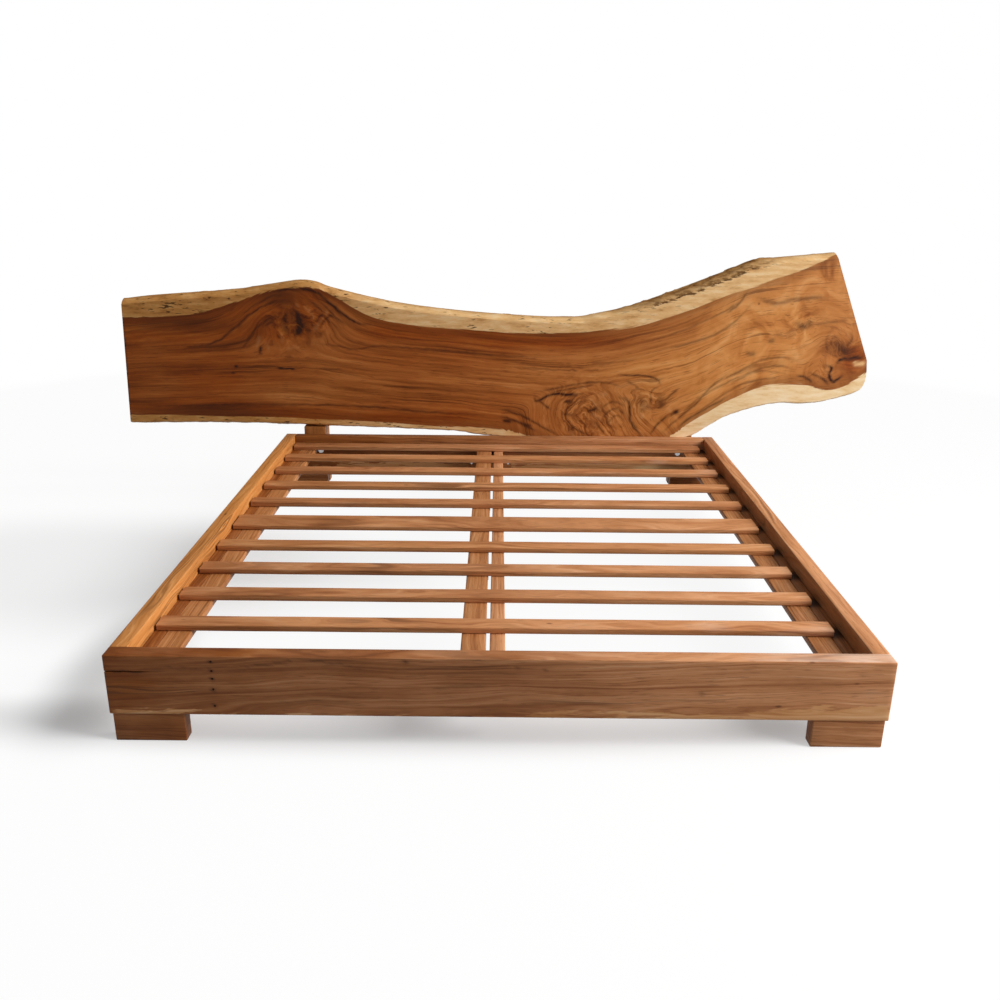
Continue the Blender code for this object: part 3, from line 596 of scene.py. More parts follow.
def slab_section(height, wane, thickness):
    """The slab's section as (distance up, depth): front upwards, over the top, down the back and under."""
    front_rise = np.linspace(BOTTOM_WANE, height - wane, FACE_ROWS)
    back_fall = np.linspace(height - BACK_ROUND, BACK_ROUND, BACK_ROWS)
    crest = (height, thickness * TOP_CREST_DEPTH_SHARE)
    sole = (0.0, thickness * BOTTOM_CREST_DEPTH_SHARE)
    front = np.column_stack([front_rise, np.zeros(FACE_ROWS)])
    back = np.column_stack([back_fall, np.full(BACK_ROWS, thickness)])
    corner_depth = WANE_CORNER_DEPTH * thickness
    over = bend(front[-1], (height - WANE_CORNER_DROP * wane, corner_depth), crest, WANE_ROWS)
    behind = bend(crest, (height, thickness), back[0], ROUND_ROWS)
    under = bend(back[-1], (0.0, thickness), sole, ROUND_ROWS)
    bottom = bend(sole, (WANE_CORNER_DROP * BOTTOM_WANE, corner_depth), front[0], WANE_ROWS)
    return np.vstack([front, over, behind, back[1:], under, bottom[:-1]])


def slab_wane(x):
    """The height of the upper wane along the slab, and how rough it is: most on the rise to the right."""
    rise, fall = ROUGH_WANE_SPAN
    rough = np.clip((x - rise) / ROUGH_WANE_RISE, 0, 1) * np.clip((fall - x) / ROUGH_WANE_FALL, 0, 1)
    uneven = ripple(np.column_stack([x * WANE_WAVES_PER_METRE, 0 * x, 0 * x + WANE_NOISE_SHIFT]), 3)
    waver = WANE_WAVER * uneven * (EVEN_WANE_WAVER_SHARE + rough)
    return TOP_WANE + (ROUGH_WANE - TOP_WANE) * rough + waver, rough


def growth_lines(x, z, depth, low, high):
    """Along and across the grain at each point of the slab, and how wild its figure is.

    The grain follows the slab's edges, rises over the hump, wraps round the branch and curls in the burls.
    """
    near_x, near_z = x, z
    figure = np.zeros_like(x)
    for middle_x, middle_z, reach, turn in BURLS:
        off_x, off_z = near_x - middle_x, near_z - middle_z
        pull = np.exp(-(off_x**2 + off_z**2) / reach**2)
        cosine, sine = np.cos(turn * pull), np.sin(turn * pull)
        near_x = middle_x + off_x * cosine - off_z * sine
        near_z = middle_z + off_x * sine + off_z * cosine
        figure = np.maximum(figure, pull)
    over = np.clip((near_z - HUMP_FROM) / (HUMP_TO - HUMP_FROM), 0, 1)
    lift = HUMP_LIFT * over * over * (3 - 2 * over) * np.exp(-(((near_x - HUMP_X) / HUMP_SPREAD) ** 2))
    foot = np.interp(near_x, np.maximum.accumulate(low[:, 0]), low[:, 1])
    crest = np.interp(near_x, high[:, 0], high[:, 1])
    across = ((near_z - lift - foot) / (crest - foot) - PITH_SHARE) * 2 * TRUNK_RADIUS
    away = segment_distance(near_x, near_z, BRANCH_FROM, BRANCH_TO)
    branch = BRANCH_GROWTH - BRANCH_FALL * np.hypot(away, BRANCH_PITH)
    across = RING_BLEND * np.log(np.exp(across / RING_BLEND) + np.exp(branch / RING_BLEND))
    figure = np.maximum(figure, np.exp(-((away / FIGURE_REACH) ** 2)))
    from_hump = np.hypot(x - HUMP_MIDDLE[0], z - HUMP_MIDDLE[1])
    figure = np.maximum(figure, np.exp(-((from_hump / HUMP_FIGURE_REACH) ** 2)))
    place = np.column_stack([x, z, depth])
    for amount, waves, octaves, only_wild in GRAIN_RIPPLES:
        across = across + amount * (figure if only_wild else 1.0) * ripple(place * waves, octaves)
    return near_x, across, figure


def slab_end(index, end, verts, first_new):
    """The sawn face at one end of the slab: the points inside it, and the faces between them and its rim."""
    top_back = FACE_ROWS + WANE_ROWS + ROUND_ROWS - 1
    front = index[end, :FACE_ROWS]
    back = index[end, top_back : top_back + BACK_ROWS][::-1]
    per_row = FACE_ROWS_PER_BACK_ROW
    shares = np.arange(FACE_ROWS) / per_row
    back_rows = np.arange(BACK_ROWS)
    opposite = np.column_stack([np.interp(shares, back_rows, verts[back, axis]) for axis in range(3)])
    shares = np.linspace(0, 1, CAP_COLUMNS + 2)[1:-1, None]
    inner = verts[front][:, None] * (1 - shares) + opposite[:, None] * shares
    grid = np.column_stack([front, first_new + np.arange(FACE_ROWS * CAP_COLUMNS).reshape(FACE_ROWS, -1)])
    faces = quads(grid, closed=False)
    for row in range(BACK_ROWS - 1):
        beside = grid[per_row * row : per_row * (row + 1) + 1, -1].tolist()
        faces.append([*beside, int(back[row + 1]), int(back[row])])
    faces.append([*index[end, FACE_ROWS - 1 : top_back + 1].tolist(), *grid[-1, :0:-1].tolist()])
    faces.append([*index[end, top_back + BACK_ROWS - 1 :].tolist(), *grid[0].tolist()])
    return inner.reshape(-1, 3), faces


def make_slab(material):
    """The live-edge slab: a fine loft between its edges, with its grain and figure stored at each point."""
    rail_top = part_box("foot_rail")[1].z
    front, back = (corner.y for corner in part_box("headboard_slab"))
    thickness = back - front
    low = smooth_line(BOTTOM_EDGE, SLAB_STATIONS) + (0.0, rail_top)
    high = smooth_line(TOP_EDGE, SLAB_STATIONS) + (0.0, rail_top)
    height = np.linalg.norm(high - low, axis=1)
    up = (high - low) / height[:, None]
    wane, rough = slab_wane(high[:, 0])
    section = np.stack([slab_section(h, w, thickness) for h, w in zip(height, wane)])
    distance, depth = section[..., 0], section[..., 1]
    rows = section.shape[1]
    x = low[:, None, 0] + up[:, None, 0] * distance
    z = low[:, None, 1] + up[:, None, 1] * distance

    # Way over the wane, from 0 at the face to 1 at the crest
    over_top, over_bottom = np.zeros(rows), np.zeros(rows)
    over_top[FACE_ROWS : FACE_ROWS + WANE_ROWS] = np.linspace(0, 1, WANE_ROWS + 1)[1:]
    over_bottom[1 - WANE_ROWS :] = np.linspace(1, 0, WANE_ROWS)[:-1]
    waned = (over_top + over_bottom > 0) * 1.0
    roughened = rough[:, None] * (over_top > 0)
    flat = np.column_stack([x.ravel(), depth.ravel(), z.ravel()])
    lumps = ripple(flat * LUMP_WAVES, 4).reshape(x.shape)
    pits = ripple(flat * PIT_WAVES + PIT_NOISE_SHIFT, 3).reshape(x.shape)
    z = z + (LUMP_HEIGHT * waned + ROUGH_LUMP_HEIGHT * roughened) * (lumps + PIT_SHARE * pits)
    sunk = (PIT_DEPTH * waned + ROUGH_PIT_DEPTH * roughened) * (pits + 0.5)
    y = front + np.clip(depth + sunk, 0.0, thickness)
    below_wane = np.maximum(height[:, None] - wane[:, None] - distance, 0.0)
    rim = rough[:, None] * np.where(over_top > 0, 1 - over_top, np.exp(-((below_wane / RIM_REACH) ** 2)))
    rim = rim * (np.arange(rows) < FACE_ROWS + WANE_ROWS)
    bark_and_shade = rough[:, None] * (ROUGH_BARK * (over_top > 0) + ROUGH_BARK_RISE * over_top)
    # Painted shade: any wane darkens towards its crest, where it faces up to the light
    bark_and_shade = bark_and_shade + WANE_PAINTED_SHADE_RISE * over_top + CREST_BARK * over_top**4 + BOTTOM_BARK * over_bottom**2

    verts = np.stack([x, y, z], axis=-1).reshape(-1, 3)
    index = np.arange(len(verts)).reshape(SLAB_STATIONS, rows)
    faces = quads(index, closed=True)
    points = [verts]
    for end in (0, SLAB_STATIONS - 1):
        inner, end_faces = slab_end(index, end, verts, sum(len(part) for part in points))
        points.append(inner)
        faces += end_faces
    points = np.vstack(points)
    mesh = closed_mesh("live_edge_slab", points, faces)

    x, y, z = points.T
    along, across, figure = growth_lines(x, z, y - front, low, high)
    upper = np.interp(x, *smooth_line(UPPER_SAPWOOD, SAPWOOD_POINTS).T)
    lower = np.interp(x, *smooth_line(LOWER_SAPWOOD, SAPWOOD_POINTS).T)
    at_ends = np.zeros(len(points) - len(verts))
    # Painted light and shade on top of the wood's own tone: the heartwood darkens towards the left end
    golden_and_lit = np.interp(x, *np.transpose(GOLDEN_AND_PAINTED_LIGHT))
    golden_and_lit = golden_and_lit + GOLDEN_CLOUDS * ripple(np.column_stack([x, z, y]) * GOLDEN_WAVES, 3)
    for middle_x, middle_z, half_x, half_z, amount in GOLDEN_PATCHES:
        golden_and_lit = golden_and_lit + amount * np.exp(-(((x - middle_x) / half_x) ** 2) - ((z - middle_z) / half_z) ** 2)
    on_front = y < front + 0.5 * thickness
    store(mesh, "growth", "FLOAT_VECTOR", np.column_stack([along, across, y - front]))
    store(mesh, "sapwood", "FLOAT", np.maximum(z - upper, lower - z))
    store(mesh, "bark_and_shade", "FLOAT", np.concatenate([np.clip(bark_and_shade, 0, 1).ravel(), at_ends]))
    store(mesh, "rim", "FLOAT", np.concatenate([rim.ravel(), at_ends]))
    store(mesh, "figure", "FLOAT", figure)
    store(mesh, "golden_and_lit", "FLOAT", golden_and_lit)
    store(mesh, "drawn", "FLOAT", stroked(x, z, FIGURE_STROKES) * on_front)
    new_piece("live_edge_slab", mesh, material, SLOT_OF["headboard_slab"], "headboard_slab")


# The planed boards


def eased_rectangle(half_a, half_b, ease, side_step):
    """Points round a rectangle with eased corners and the way out at each, more of them on long sides."""
    arcs = []
    for turn, (sign_a, sign_b) in enumerate(((1, 1), (-1, 1), (-1, -1), (1, -1))):
        angle = (turn + np.linspace(0, 1, CORNER_STEPS + 1)) * math.pi / 2
        way = np.column_stack([np.cos(angle), np.sin(angle)])
        arcs.append((np.array([sign_a * (half_a - ease), sign_b * (half_b - ease)]) + ease * way, way))
    points, ways = [], []
    for (arc, way), (following, _) in zip(arcs, arcs[1:] + arcs[:1]):
        side = following[0] - arc[-1]
        extra = int(np.linalg.norm(side) / side_step)
        shares = np.linspace(0, 1, extra + 2)[1:-1, None]
        points += [arc, arc[-1] + shares * side]
        ways += [way, np.repeat(way[-1:], extra, axis=0)]
    return np.vstack(points), np.vstack(ways)


def add_crack(ring, ways, crack_at):
    """Four points more on the front of the foot rail's ring, for the crack's two lips and its floor."""
    heights = crack_at + CRACK_OPENING * np.array(CRACK_PROFILE)
    front = ways[:, 0] < FACING_FRONT
    clear = ~(front & (np.abs(ring[:, 1] - crack_at) < CRACK_OPENING))
    ring, ways, front = ring[clear], ways[clear], np.flatnonzero(front[clear])
    place = front[np.searchsorted(-ring[front, 1], -heights[0])]
    lips = np.column_stack([np.full(len(heights), ring[front[0], 0]), heights])
    ring = np.insert(ring, place, lips, axis=0)
    ways = np.insert(ways, place, np.tile((-1.0, 0.0), (len(heights), 1)), axis=0)
    floor = np.zeros(len(ring))
    floor[place + 1 : place + 3] = 1.0
    return ring, ways, floor


def board_mesh(name, low, high, axis, seed, steps=BOARD_STEPS, cracked=False):
    """A planed board with eased edges and ends, with its own grain frame stored at each point.

    axis is the way of the grain; steps are the mesh's steps along and across it.
    """
    order = (axis, (axis + 1) % 3, (axis + 2) % 3)
    middle = (low + high) / 2
    half = [(high[i] - low[i]) / 2 for i in order]
    ring, ways = eased_rectangle(half[1], half[2], BOARD_EASE, steps[1])
    floor = np.zeros(len(ring))
    if cracked:
        ring, ways, floor = add_crack(ring, ways, CRACK_HEIGHT - middle[2])
    quarter = np.linspace(0, math.pi / 2, CORNER_STEPS + 1)
    end_place = half[0] - BOARD_EASE * (1 - np.sin(quarter))
    end_inset = BOARD_EASE * (1 - np.cos(quarter))
    count = max(2, round(2 * (half[0] - BOARD_EASE) / steps[0]))
    inner = np.linspace(-end_place[0], end_place[0], count + 1)[1:-1]
    places = np.concatenate([-end_place[::-1], inner, end_place])
    insets = np.concatenate([end_inset[::-1], 0 * inner, end_inset])
    shrink = 1 - insets[:, None] / np.array(half[1:])
    local = np.dstack([np.repeat(places[:, None], len(ring), axis=1), ring[None] * shrink[:, None]])
    uneven = BOARD_UNDULATION * ripple(local.reshape(-1, 3) * BOARD_WAVES + seed * BOARD_NOISE_SHIFT)
    open_share = np.clip(1 - (places + half[0]) / CRACK_LENGTH, 0, 1)
    out = uneven.reshape(local.shape[:2]) - CRACK_DEPTH * open_share[:, None] * floor
    local[..., 1:] += ways[None] * out[..., None]
    index = np.arange(local.shape[0] * local.shape[1]).reshape(local.shape[:2])
    local = local.reshape(-1, 3)
    world = np.zeros_like(local)
    for place, i in enumerate(order):
        world[:, i] = local[:, place] + middle[i]
    mesh = closed_mesh(name, world, quads(index, closed=True) + [index[0].tolist(), index[-1].tolist()])

    draw = np.random.default_rng(seed)
    pith = draw.uniform(PITH_LOW, PITH_HIGH)
    slope = draw.uniform(-GRAIN_SLOPE, GRAIN_SLOPE, 2)
    grain = local - np.column_stack([
        np.full(len(local), -BOARD_GRAIN_SHIFT * seed),
        pith[0] + slope[0] * local[:, 0],
        pith[1] + slope[1] * local[:, 0],
    ])
    store(mesh, "grain", "FLOAT_VECTOR", grain)
    is_end = np.zeros(len(mesh.polygons))
    is_end[-2:] = 1.0
    store(mesh, "end", "FLOAT", is_end, "FACE")
    return mesh, world


def trimmed_box(node, **trim):
    """A node's box without its tenon or tongue: trim gives corner values to use instead, such as x0 or z1."""
    corners = [list(corner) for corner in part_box(node)]
    for key, value in trim.items():
        corners[int(key[1])]["xyz".index(key[0])] = value
    return np.array(corners[0]), np.array(corners[1])


def make_boards(material):
    """The frame's boards, posts, blocks and feet, each in place of its CAD node."""
    foot_low, foot_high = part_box("foot_rail")
    inner_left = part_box("side_rail_left")[1].x
    inner_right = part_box("side_rail_right")[0].x
    ledger_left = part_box("cleat_left")[1].x
    ledger_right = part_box("cleat_right")[0].x
    beam_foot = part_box("centre_beam_wide")[0].z
    # node, axis of the grain, how light it is (all over, or at points along it), how orange, trimmed sides
    boards = [
        ("foot_rail", 0, FOOT_RAIL_TONE_AND_PAINTED_LIGHT, 0.00, {}),
        ("head_rail", 0, HEAD_RAIL_TONE_AND_PAINTED_LIGHT, 0.12, {"x0": inner_left, "x1": inner_right}),
        ("side_rail_left", 1, LEFT_RAIL_LIGHT, 0.90, {"y0": foot_high.y}),
        ("side_rail_right", 1, 0.85, 0.15, {"y0": foot_high.y}),
        ("cleat_left", 1, 0.00, 0.10, {}),
        ("cleat_right", 1, 0.40, 0.05, {}),
        ("ledger_left", 1, 0.42, 0.30, {"x0": ledger_left}),
        ("ledger_right", 1, 0.55, 0.20, {"x1": ledger_right}),
        ("centre_beam_wide", 1, 0.52, 0.22, {}),
        ("centre_beam_narrow", 1, 0.95, 0.05, {}),
        ("headboard_post_left", 2, 0.30, 0.30, {}),
        ("headboard_post_right", 2, 0.40, 0.30, {}),
        ("slab_block_left", 2, 0.05, 0.30, {}),
        ("slab_block_right", 2, 0.25, 0.40, {}),
        ("corner_foot_foot_left", 0, 0.22, 0.05, {"z1": foot_low.z}),
        ("corner_foot_foot_right", 0, 0.78, 0.05, {"z1": foot_low.z}),
        ("corner_foot_head_left", 0, 0.30, 0.15, {"z1": foot_low.z}),
        ("corner_foot_head_right", 0, 0.10, 0.10, {"z1": foot_low.z}),
        ("beam_block_foot", 0, 0.35, 0.20, {}),
        ("beam_block_head", 0, 0.40, 0.20, {}),
    ]
    for end in ("foot", "head"):
        boards += [(f"corner_block_{end}_{side}", 2, 0.35, 0.20, {}) for side in ("left", "right")]
    for beam in ("wide", "narrow"):
        for row in ("foot", "middle", "head"):
            boards.append((f"centre_foot_{beam}_{row}", 2, 0.40, 0.15, {"z1": beam_foot}))
    stains = []
    for node in PEG_NODES:
        peg = sum(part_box(node), Vector()) / 2
        ends = ((peg.x - PEG_STAIN_HALF_LENGTH, peg.z), (peg.x + PEG_STAIN_HALF_LENGTH, peg.z))
        stains.append((PEG_STAIN_DARK, PEG_STAIN, ends))
    sapwood = {"foot_rail": FOOT_RAIL_SAPWOOD, "head_rail": HEAD_RAIL_SAPWOOD}
    for seed, (node, axis, light, orange, trim) in enumerate(boards, 1):
        low, high = trimmed_box(node, **trim)
        name = node + "_planed"
        is_foot_rail = node == "foot_rail"
        steps = {"foot_rail": FOOT_RAIL_STEPS, "cleat_right": CLEAT_STEPS}.get(node, BOARD_STEPS)
        mesh, points = board_mesh(name, low, high, axis, seed, steps, cracked=is_foot_rail)
        if isinstance(light, float):
            lights = np.full(len(points), light)
        else:
            lights = np.interp(points[:, axis], *np.transpose(light))
        # The foot rail's top takes its own painted light, with a painted sheen at the right end
        if is_foot_rail:
            on_front = points[:, 1] < low[1] + BOARD_EASE
            on_top = (points[:, 2] > high[2] - BOARD_EASE) & ~on_front
            lights = np.where(on_top, np.interp(points[:, 0], *np.transpose(FOOT_RAIL_TOP_PAINTED_LIGHT)), lights)
            strokes = [*FOOT_RAIL_STROKES, *stains]
            store(mesh, "drawn", "FLOAT", stroked(points[:, 0], points[:, 2], strokes) * on_front)
        # Painted shade: the right cleat darkens beside each slat's end
        if node == "cleat_right":
            ends = np.array([sum(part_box(slat), Vector()).y / 2 for slat in SLAT_NODES])
            beside = np.abs(points[:, 1, None] - ends).min(axis=1)
            store(mesh, "drawn", "FLOAT", CLEAT_PAINTED_SHADE * np.exp(-((beside / CLEAT_PAINTED_SHADE_REACH) ** 4)))
        store(mesh, "light", "FLOAT", lights)
        store(mesh, "orange", "FLOAT", np.full(len(points), orange))
        if node in sapwood:
            strip = np.interp(points[:, axis], *np.transpose(sapwood[node]))
            store(mesh, "sapwood", "FLOAT", strip - (points[:, 2] - low[2]))
        new_piece(name, mesh, material, SLOT_OF[node], node)


# Slats, screws and pegs by Geometry Nodes


def new_tree(name, sizes):
    """A Geometry Nodes tree that takes points, a material and named sizes, and its input sockets."""
    tree = bpy.data.node_groups.new(name, "GeometryNodeTree")
    tree.interface.new_socket("Geometry", in_out="OUTPUT", socket_type="NodeSocketGeometry")
    tree.interface.new_socket("Points", in_out="INPUT", socket_type="NodeSocketGeometry")
    tree.interface.new_socket("Material", in_out="INPUT", socket_type="NodeSocketMaterial")
    for size in sizes:
        tree.interface.new_socket(size, in_out="INPUT", socket_type="NodeSocketFloat")
    return tree, add(tree, "NodeGroupInput", out=None)


def grow(name, points, values, tree, settings):
    """The plain mesh that a tree makes from points and the values at them."""
    seeds = bpy.data.meshes.new(name + "_points")
    seeds.from_pydata([tuple(point) for point in points], [], [])
    for key, kind, numbers in values:
        store(seeds, key, kind, numbers)
    grower = bpy.data.objects.new(name + "_points", seeds)
    modifier = grower.modifiers.new("grow", "NODES")
    modifier.node_group = tree
    for socket in tree.interface.items_tree:
        if socket.in_out == "INPUT" and socket.name in settings:
            modifier[socket.identifier] = settings[socket.name]
    bpy.context.scene.collection.objects.link(grower)
    graph = bpy.context.evaluated_depsgraph_get()
    mesh = bpy.data.meshes.new_from_object(
        grower.evaluated_get(graph), preserve_all_data_layers=True, depsgraph=graph
    )
    mesh.name = name
    bpy.data.objects.remove(grower)
    return mesh


def slat_tree():
    """Slats with rounded edges and a slight hand-planed wave, one at each point."""
    tree, given = new_tree("slats", ("Length", "Width", "Thickness", "Ease", "Wave"))
    to_left = add(tree, MATH, {0: given["Length"], 1: -0.5}, operation="MULTIPLY")
    to_right = add(tree, MATH, {0: given["Length"], 1: 0.5}, operation="MULTIPLY")
    left = add(tree, COMBINE, {"X": to_left})
    right = add(tree, COMBINE, {"X": to_right})
    line = add(tree, "GeometryNodeCurvePrimitiveLine", {"Start": left, "End": right})
    line = add(tree, "GeometryNodeResampleCurve", {"Curve": line, "Count": SLAT_SECTIONS})
    line = add(tree, "GeometryNodeSetCurveNormal", {"Curve": line}, mode="Z_UP")
    size = {"Width": given["Width"], "Height": given["Thickness"]}
    outline = add(tree, "GeometryNodeCurvePrimitiveQuadrilateral", size, mode="RECTANGLE")
    corners = {"Curve": outline, "Count": SLAT_CORNER_POINTS, "Radius": given["Ease"]}
    outline = add(tree, "GeometryNodeFilletCurve", corners, mode="POLY")
    slat = add(tree, "GeometryNodeCurveToMesh", {"Curve": line, "Profile Curve": outline, "Fill Caps": True})
    place = {"Geometry": slat, "Name": "grain", "Value": add(tree, "GeometryNodeInputPosition")}
    slat = add(tree, STORE_VALUE, place, data_type="FLOAT_VECTOR", domain="POINT")
    facing = add(tree, SEPARATE, {0: add(tree, "GeometryNodeInputNormal")}, out="X")
    facing = add(tree, MATH, {0: facing}, operation="ABSOLUTE")
    faces = {"Geometry": slat, "Name": "end", "Value": facing}
    slat = add(tree, STORE_VALUE, faces, data_type="FLOAT", domain="FACE")
    points = add(tree, "GeometryNodeMeshToPoints", {"Mesh": given["Points"]})
    share = add(tree, POINT_VALUE, {"Name": "width_share"}, data_type="FLOAT")
    wider = add(tree, COMBINE, {"X": 1.0, "Y": share, "Z": 1.0})
    slats = add(tree, "GeometryNodeInstanceOnPoints", {"Points": points, "Instance": slat, "Scale": wider})
    slats = add(tree, "GeometryNodeRealizeInstances", {"Geometry": slats})
    grain = add(tree, POINT_VALUE, {"Name": "grain"}, data_type="FLOAT_VECTOR")
    own = add(tree, SEPARATE, {0: grain}, out=None)
    along = add(tree, MATH, {0: own["X"], 1: SLAT_WAVES_PER_METRE}, operation="MULTIPLY")
    number = add(tree, POINT_VALUE, {"Name": "number"}, data_type="FLOAT")
    apart = add(tree, MATH, {0: number, 1: SLAT_NOISE_SHIFT}, operation="MULTIPLY")
    where = add(tree, COMBINE, {"X": along, "Y": apart})
    swell = add(tree, NOISE, {"Vector": where, "Scale": 1.0, "Detail": 1.0})
    swell = add(tree, MATH, {0: swell, 1: 0.5}, operation="SUBTRACT")
    sway = add(tree, MATH, {0: swell, 1: given["Wave"]}, operation="MULTIPLY")
    is_top = add(tree, MATH, {0: own["Z"], 1: 0.0}, operation="GREATER_THAN")
    rise = add(tree, MATH, {0: sway, 1: is_top}, operation="MULTIPLY")
    rise = add(tree, MATH, {0: rise, 1: SLAT_TOP_WAVE_SHARE}, operation="MULTIPLY")
    moved = add(tree, COMBINE, {"Y": sway, "Z": rise})
    slats = add(tree, "GeometryNodeSetPosition", {"Geometry": slats, "Offset": moved})
    pith = add(tree, POINT_VALUE, {"Name": "pith"}, data_type="FLOAT_VECTOR")
    from_pith = add(tree, VECTOR_MATH, {0: grain, 1: pith}, operation="SUBTRACT")
    grown = {"Geometry": slats, "Name": "grain", "Value": from_pith}
    slats = add(tree, STORE_VALUE, grown, data_type="FLOAT_VECTOR", domain="POINT")
    slats = add(tree, "GeometryNodeSetMaterial", {"Geometry": slats, "Material": given["Material"]})
    add(tree, "NodeGroupOutput", {"Geometry": slats}, out=None)
    return tree


def make_slats(material):
    """The ten slats, in the places of their CAD nodes; the fifth is wider."""
    boxes = [trimmed_box(node) for node in SLAT_NODES]
    length, width, thickness = boxes[0][1] - boxes[0][0]
    draw = np.random.default_rng(SLAT_SEED)
    numbers = np.arange(SLAT_COUNT)
    across = draw.uniform(*SLAT_PITH_ACROSS, SLAT_COUNT)
    below = draw.uniform(*SLAT_PITH_BELOW, SLAT_COUNT)
    piths = np.column_stack([-SLAT_GRAIN_SHIFT * numbers, across, below])
    lit_along_row = np.interp(numbers, *np.transpose(SLAT_ROW_PAINTED_LIGHT))
    values = (
        ("width_share", "FLOAT", [(high - low)[1] / width for low, high in boxes]),
        ("number", "FLOAT", numbers),
        ("light", "FLOAT", draw.uniform(*SLAT_LIGHT_RANGE, SLAT_COUNT) + lit_along_row),
        ("orange", "FLOAT", draw.uniform(*SLAT_ORANGE_RANGE, SLAT_COUNT)),
        ("pith", "FLOAT_VECTOR", piths),
    )
    settings = {
        "Length": length, "Width": width, "Thickness": thickness, "Ease": SLAT_EASE, "Wave": SLAT_WAVE,
        "Material": material,
    }
    mesh = grow("slats_planed", [(low + high) / 2 for low, high in boxes], values, slat_tree(), settings)
    # Painted light and shade along each slat: darker towards its left end
    ways = np.array([point.co.x for point in mesh.vertices])
    lights = np.array([value.value for value in mesh.attributes["light"].data])
    mesh.attributes.remove(mesh.attributes["light"])
    store(mesh, "light", "FLOAT", lights + np.interp(ways, *np.transpose(SLAT_END_PAINTED_LIGHT)))
    mesh.shade_smooth()
    mesh.set_sharp_from_angle(angle=SHARP_ANGLE)
    new_piece("slats_planed", mesh, material, SLOT_OF[SLAT_NODES[0]], *SLAT_NODES)


def screw_tree():
    """Flat screw heads with a cross recess, one at each point, turned to face its way."""
    tree, given = new_tree("screw_heads", ("Diameter", "Height"))
    radius = add(tree, MATH, {0: given["Diameter"], 1: 0.5}, operation="MULTIPLY")
    long = add(tree, MATH, {0: given["Diameter"], 1: RECESS_LENGTH}, operation="MULTIPLY")
    thin = add(tree, MATH, {0: given["Diameter"], 1: RECESS_WIDTH}, operation="MULTIPLY")
    disc = {"Vertices": SCREW_SIDES, "Radius Top": radius, "Radius Bottom": radius, "Depth": given["Height"]}
    head = add(tree, "GeometryNodeMeshCone", disc)
    slot_a = add(tree, COMBINE, {"X": long, "Y": thin, "Z": given["Height"]})
    slot_b = add(tree, COMBINE, {"X": thin, "Y": long, "Z": given["Height"]})
    lift = add(tree, MATH, {0: given["Height"], 1: RECESS_LIFT}, operation="MULTIPLY")
    lift = add(tree, COMBINE, {"Z": lift})
    for size in (slot_a, slot_b):
        slot = add(tree, "GeometryNodeMeshCube", {"Size": size})
        slot = add(tree, "GeometryNodeTransform", {"Geometry": slot, "Translation": lift})
        head = add(tree, "GeometryNodeMeshBoolean", {"Mesh 1": head, "Mesh 2": slot}, operation="DIFFERENCE")
    points = add(tree, "GeometryNodeMeshToPoints", {"Mesh": given["Points"]})
    facing = add(tree, POINT_VALUE, {"Name": "facing"}, data_type="FLOAT_VECTOR")
    turn = add(tree, "FunctionNodeAlignRotationToVector", {"Vector": facing}, axis="Z")
    heads = add(tree, "GeometryNodeInstanceOnPoints", {"Points": points, "Instance": head, "Rotation": turn})
    heads = add(tree, "GeometryNodeRealizeInstances", {"Geometry": heads})
    heads = add(tree, "GeometryNodeSetMaterial", {"Geometry": heads, "Material": given["Material"]})
    add(tree, "NodeGroupOutput", {"Geometry": heads}, out=None)
    return tree


def make_screws(material):
    """Screw heads under the ledgers below each slat, and on the corner blocks and beam blocks."""
    places, facings = [], []
    for side in ("left", "right"):
        low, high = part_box(f"ledger_{side}")
        for node in SLAT_NODES:
            slat_low, slat_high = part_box(node)
            for share_x, share_y in SLAT_SCREWS:
                x = low.x + share_x * (high.x - low.x)
                y = slat_low.y + share_y * (slat_high.y - slat_low.y)
                places.append((x, y, low.z))
                facings.append((0, 0, -1))
    for end, into in (("foot", 1), ("head", -1)):
        for side, across in (("left", 1), ("right", -1)):
            low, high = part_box(f"corner_block_{end}_{side}")
            middle = (low + high) / 2
            face_x = high.x if across > 0 else low.x
            face_y = high.y if into > 0 else low.y
            places.append((face_x, middle.y, low.z + CORNER_SCREW_INSET))
            places.append((middle.x, face_y, high.z - CORNER_SCREW_INSET))
            facings += [(across, 0, 0), (0, into, 0)]
        low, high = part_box(f"beam_block_{end}")
        face_y = high.y if into > 0 else low.y
        for share in BEAM_BLOCK_SCREWS:
            places.append((low.x + share * (high.x - low.x), face_y, (low.z + high.z) / 2))
            facings.append((0, into, 0))
    settings = {"Diameter": SCREW_HEAD, "Height": 2 * SCREW_PROUD, "Material": material}
    mesh = grow("wood_screws", places, (("facing", "FLOAT_VECTOR", facings),), screw_tree(), settings)
    new_piece("wood_screws", mesh, material, "zinc_steel")


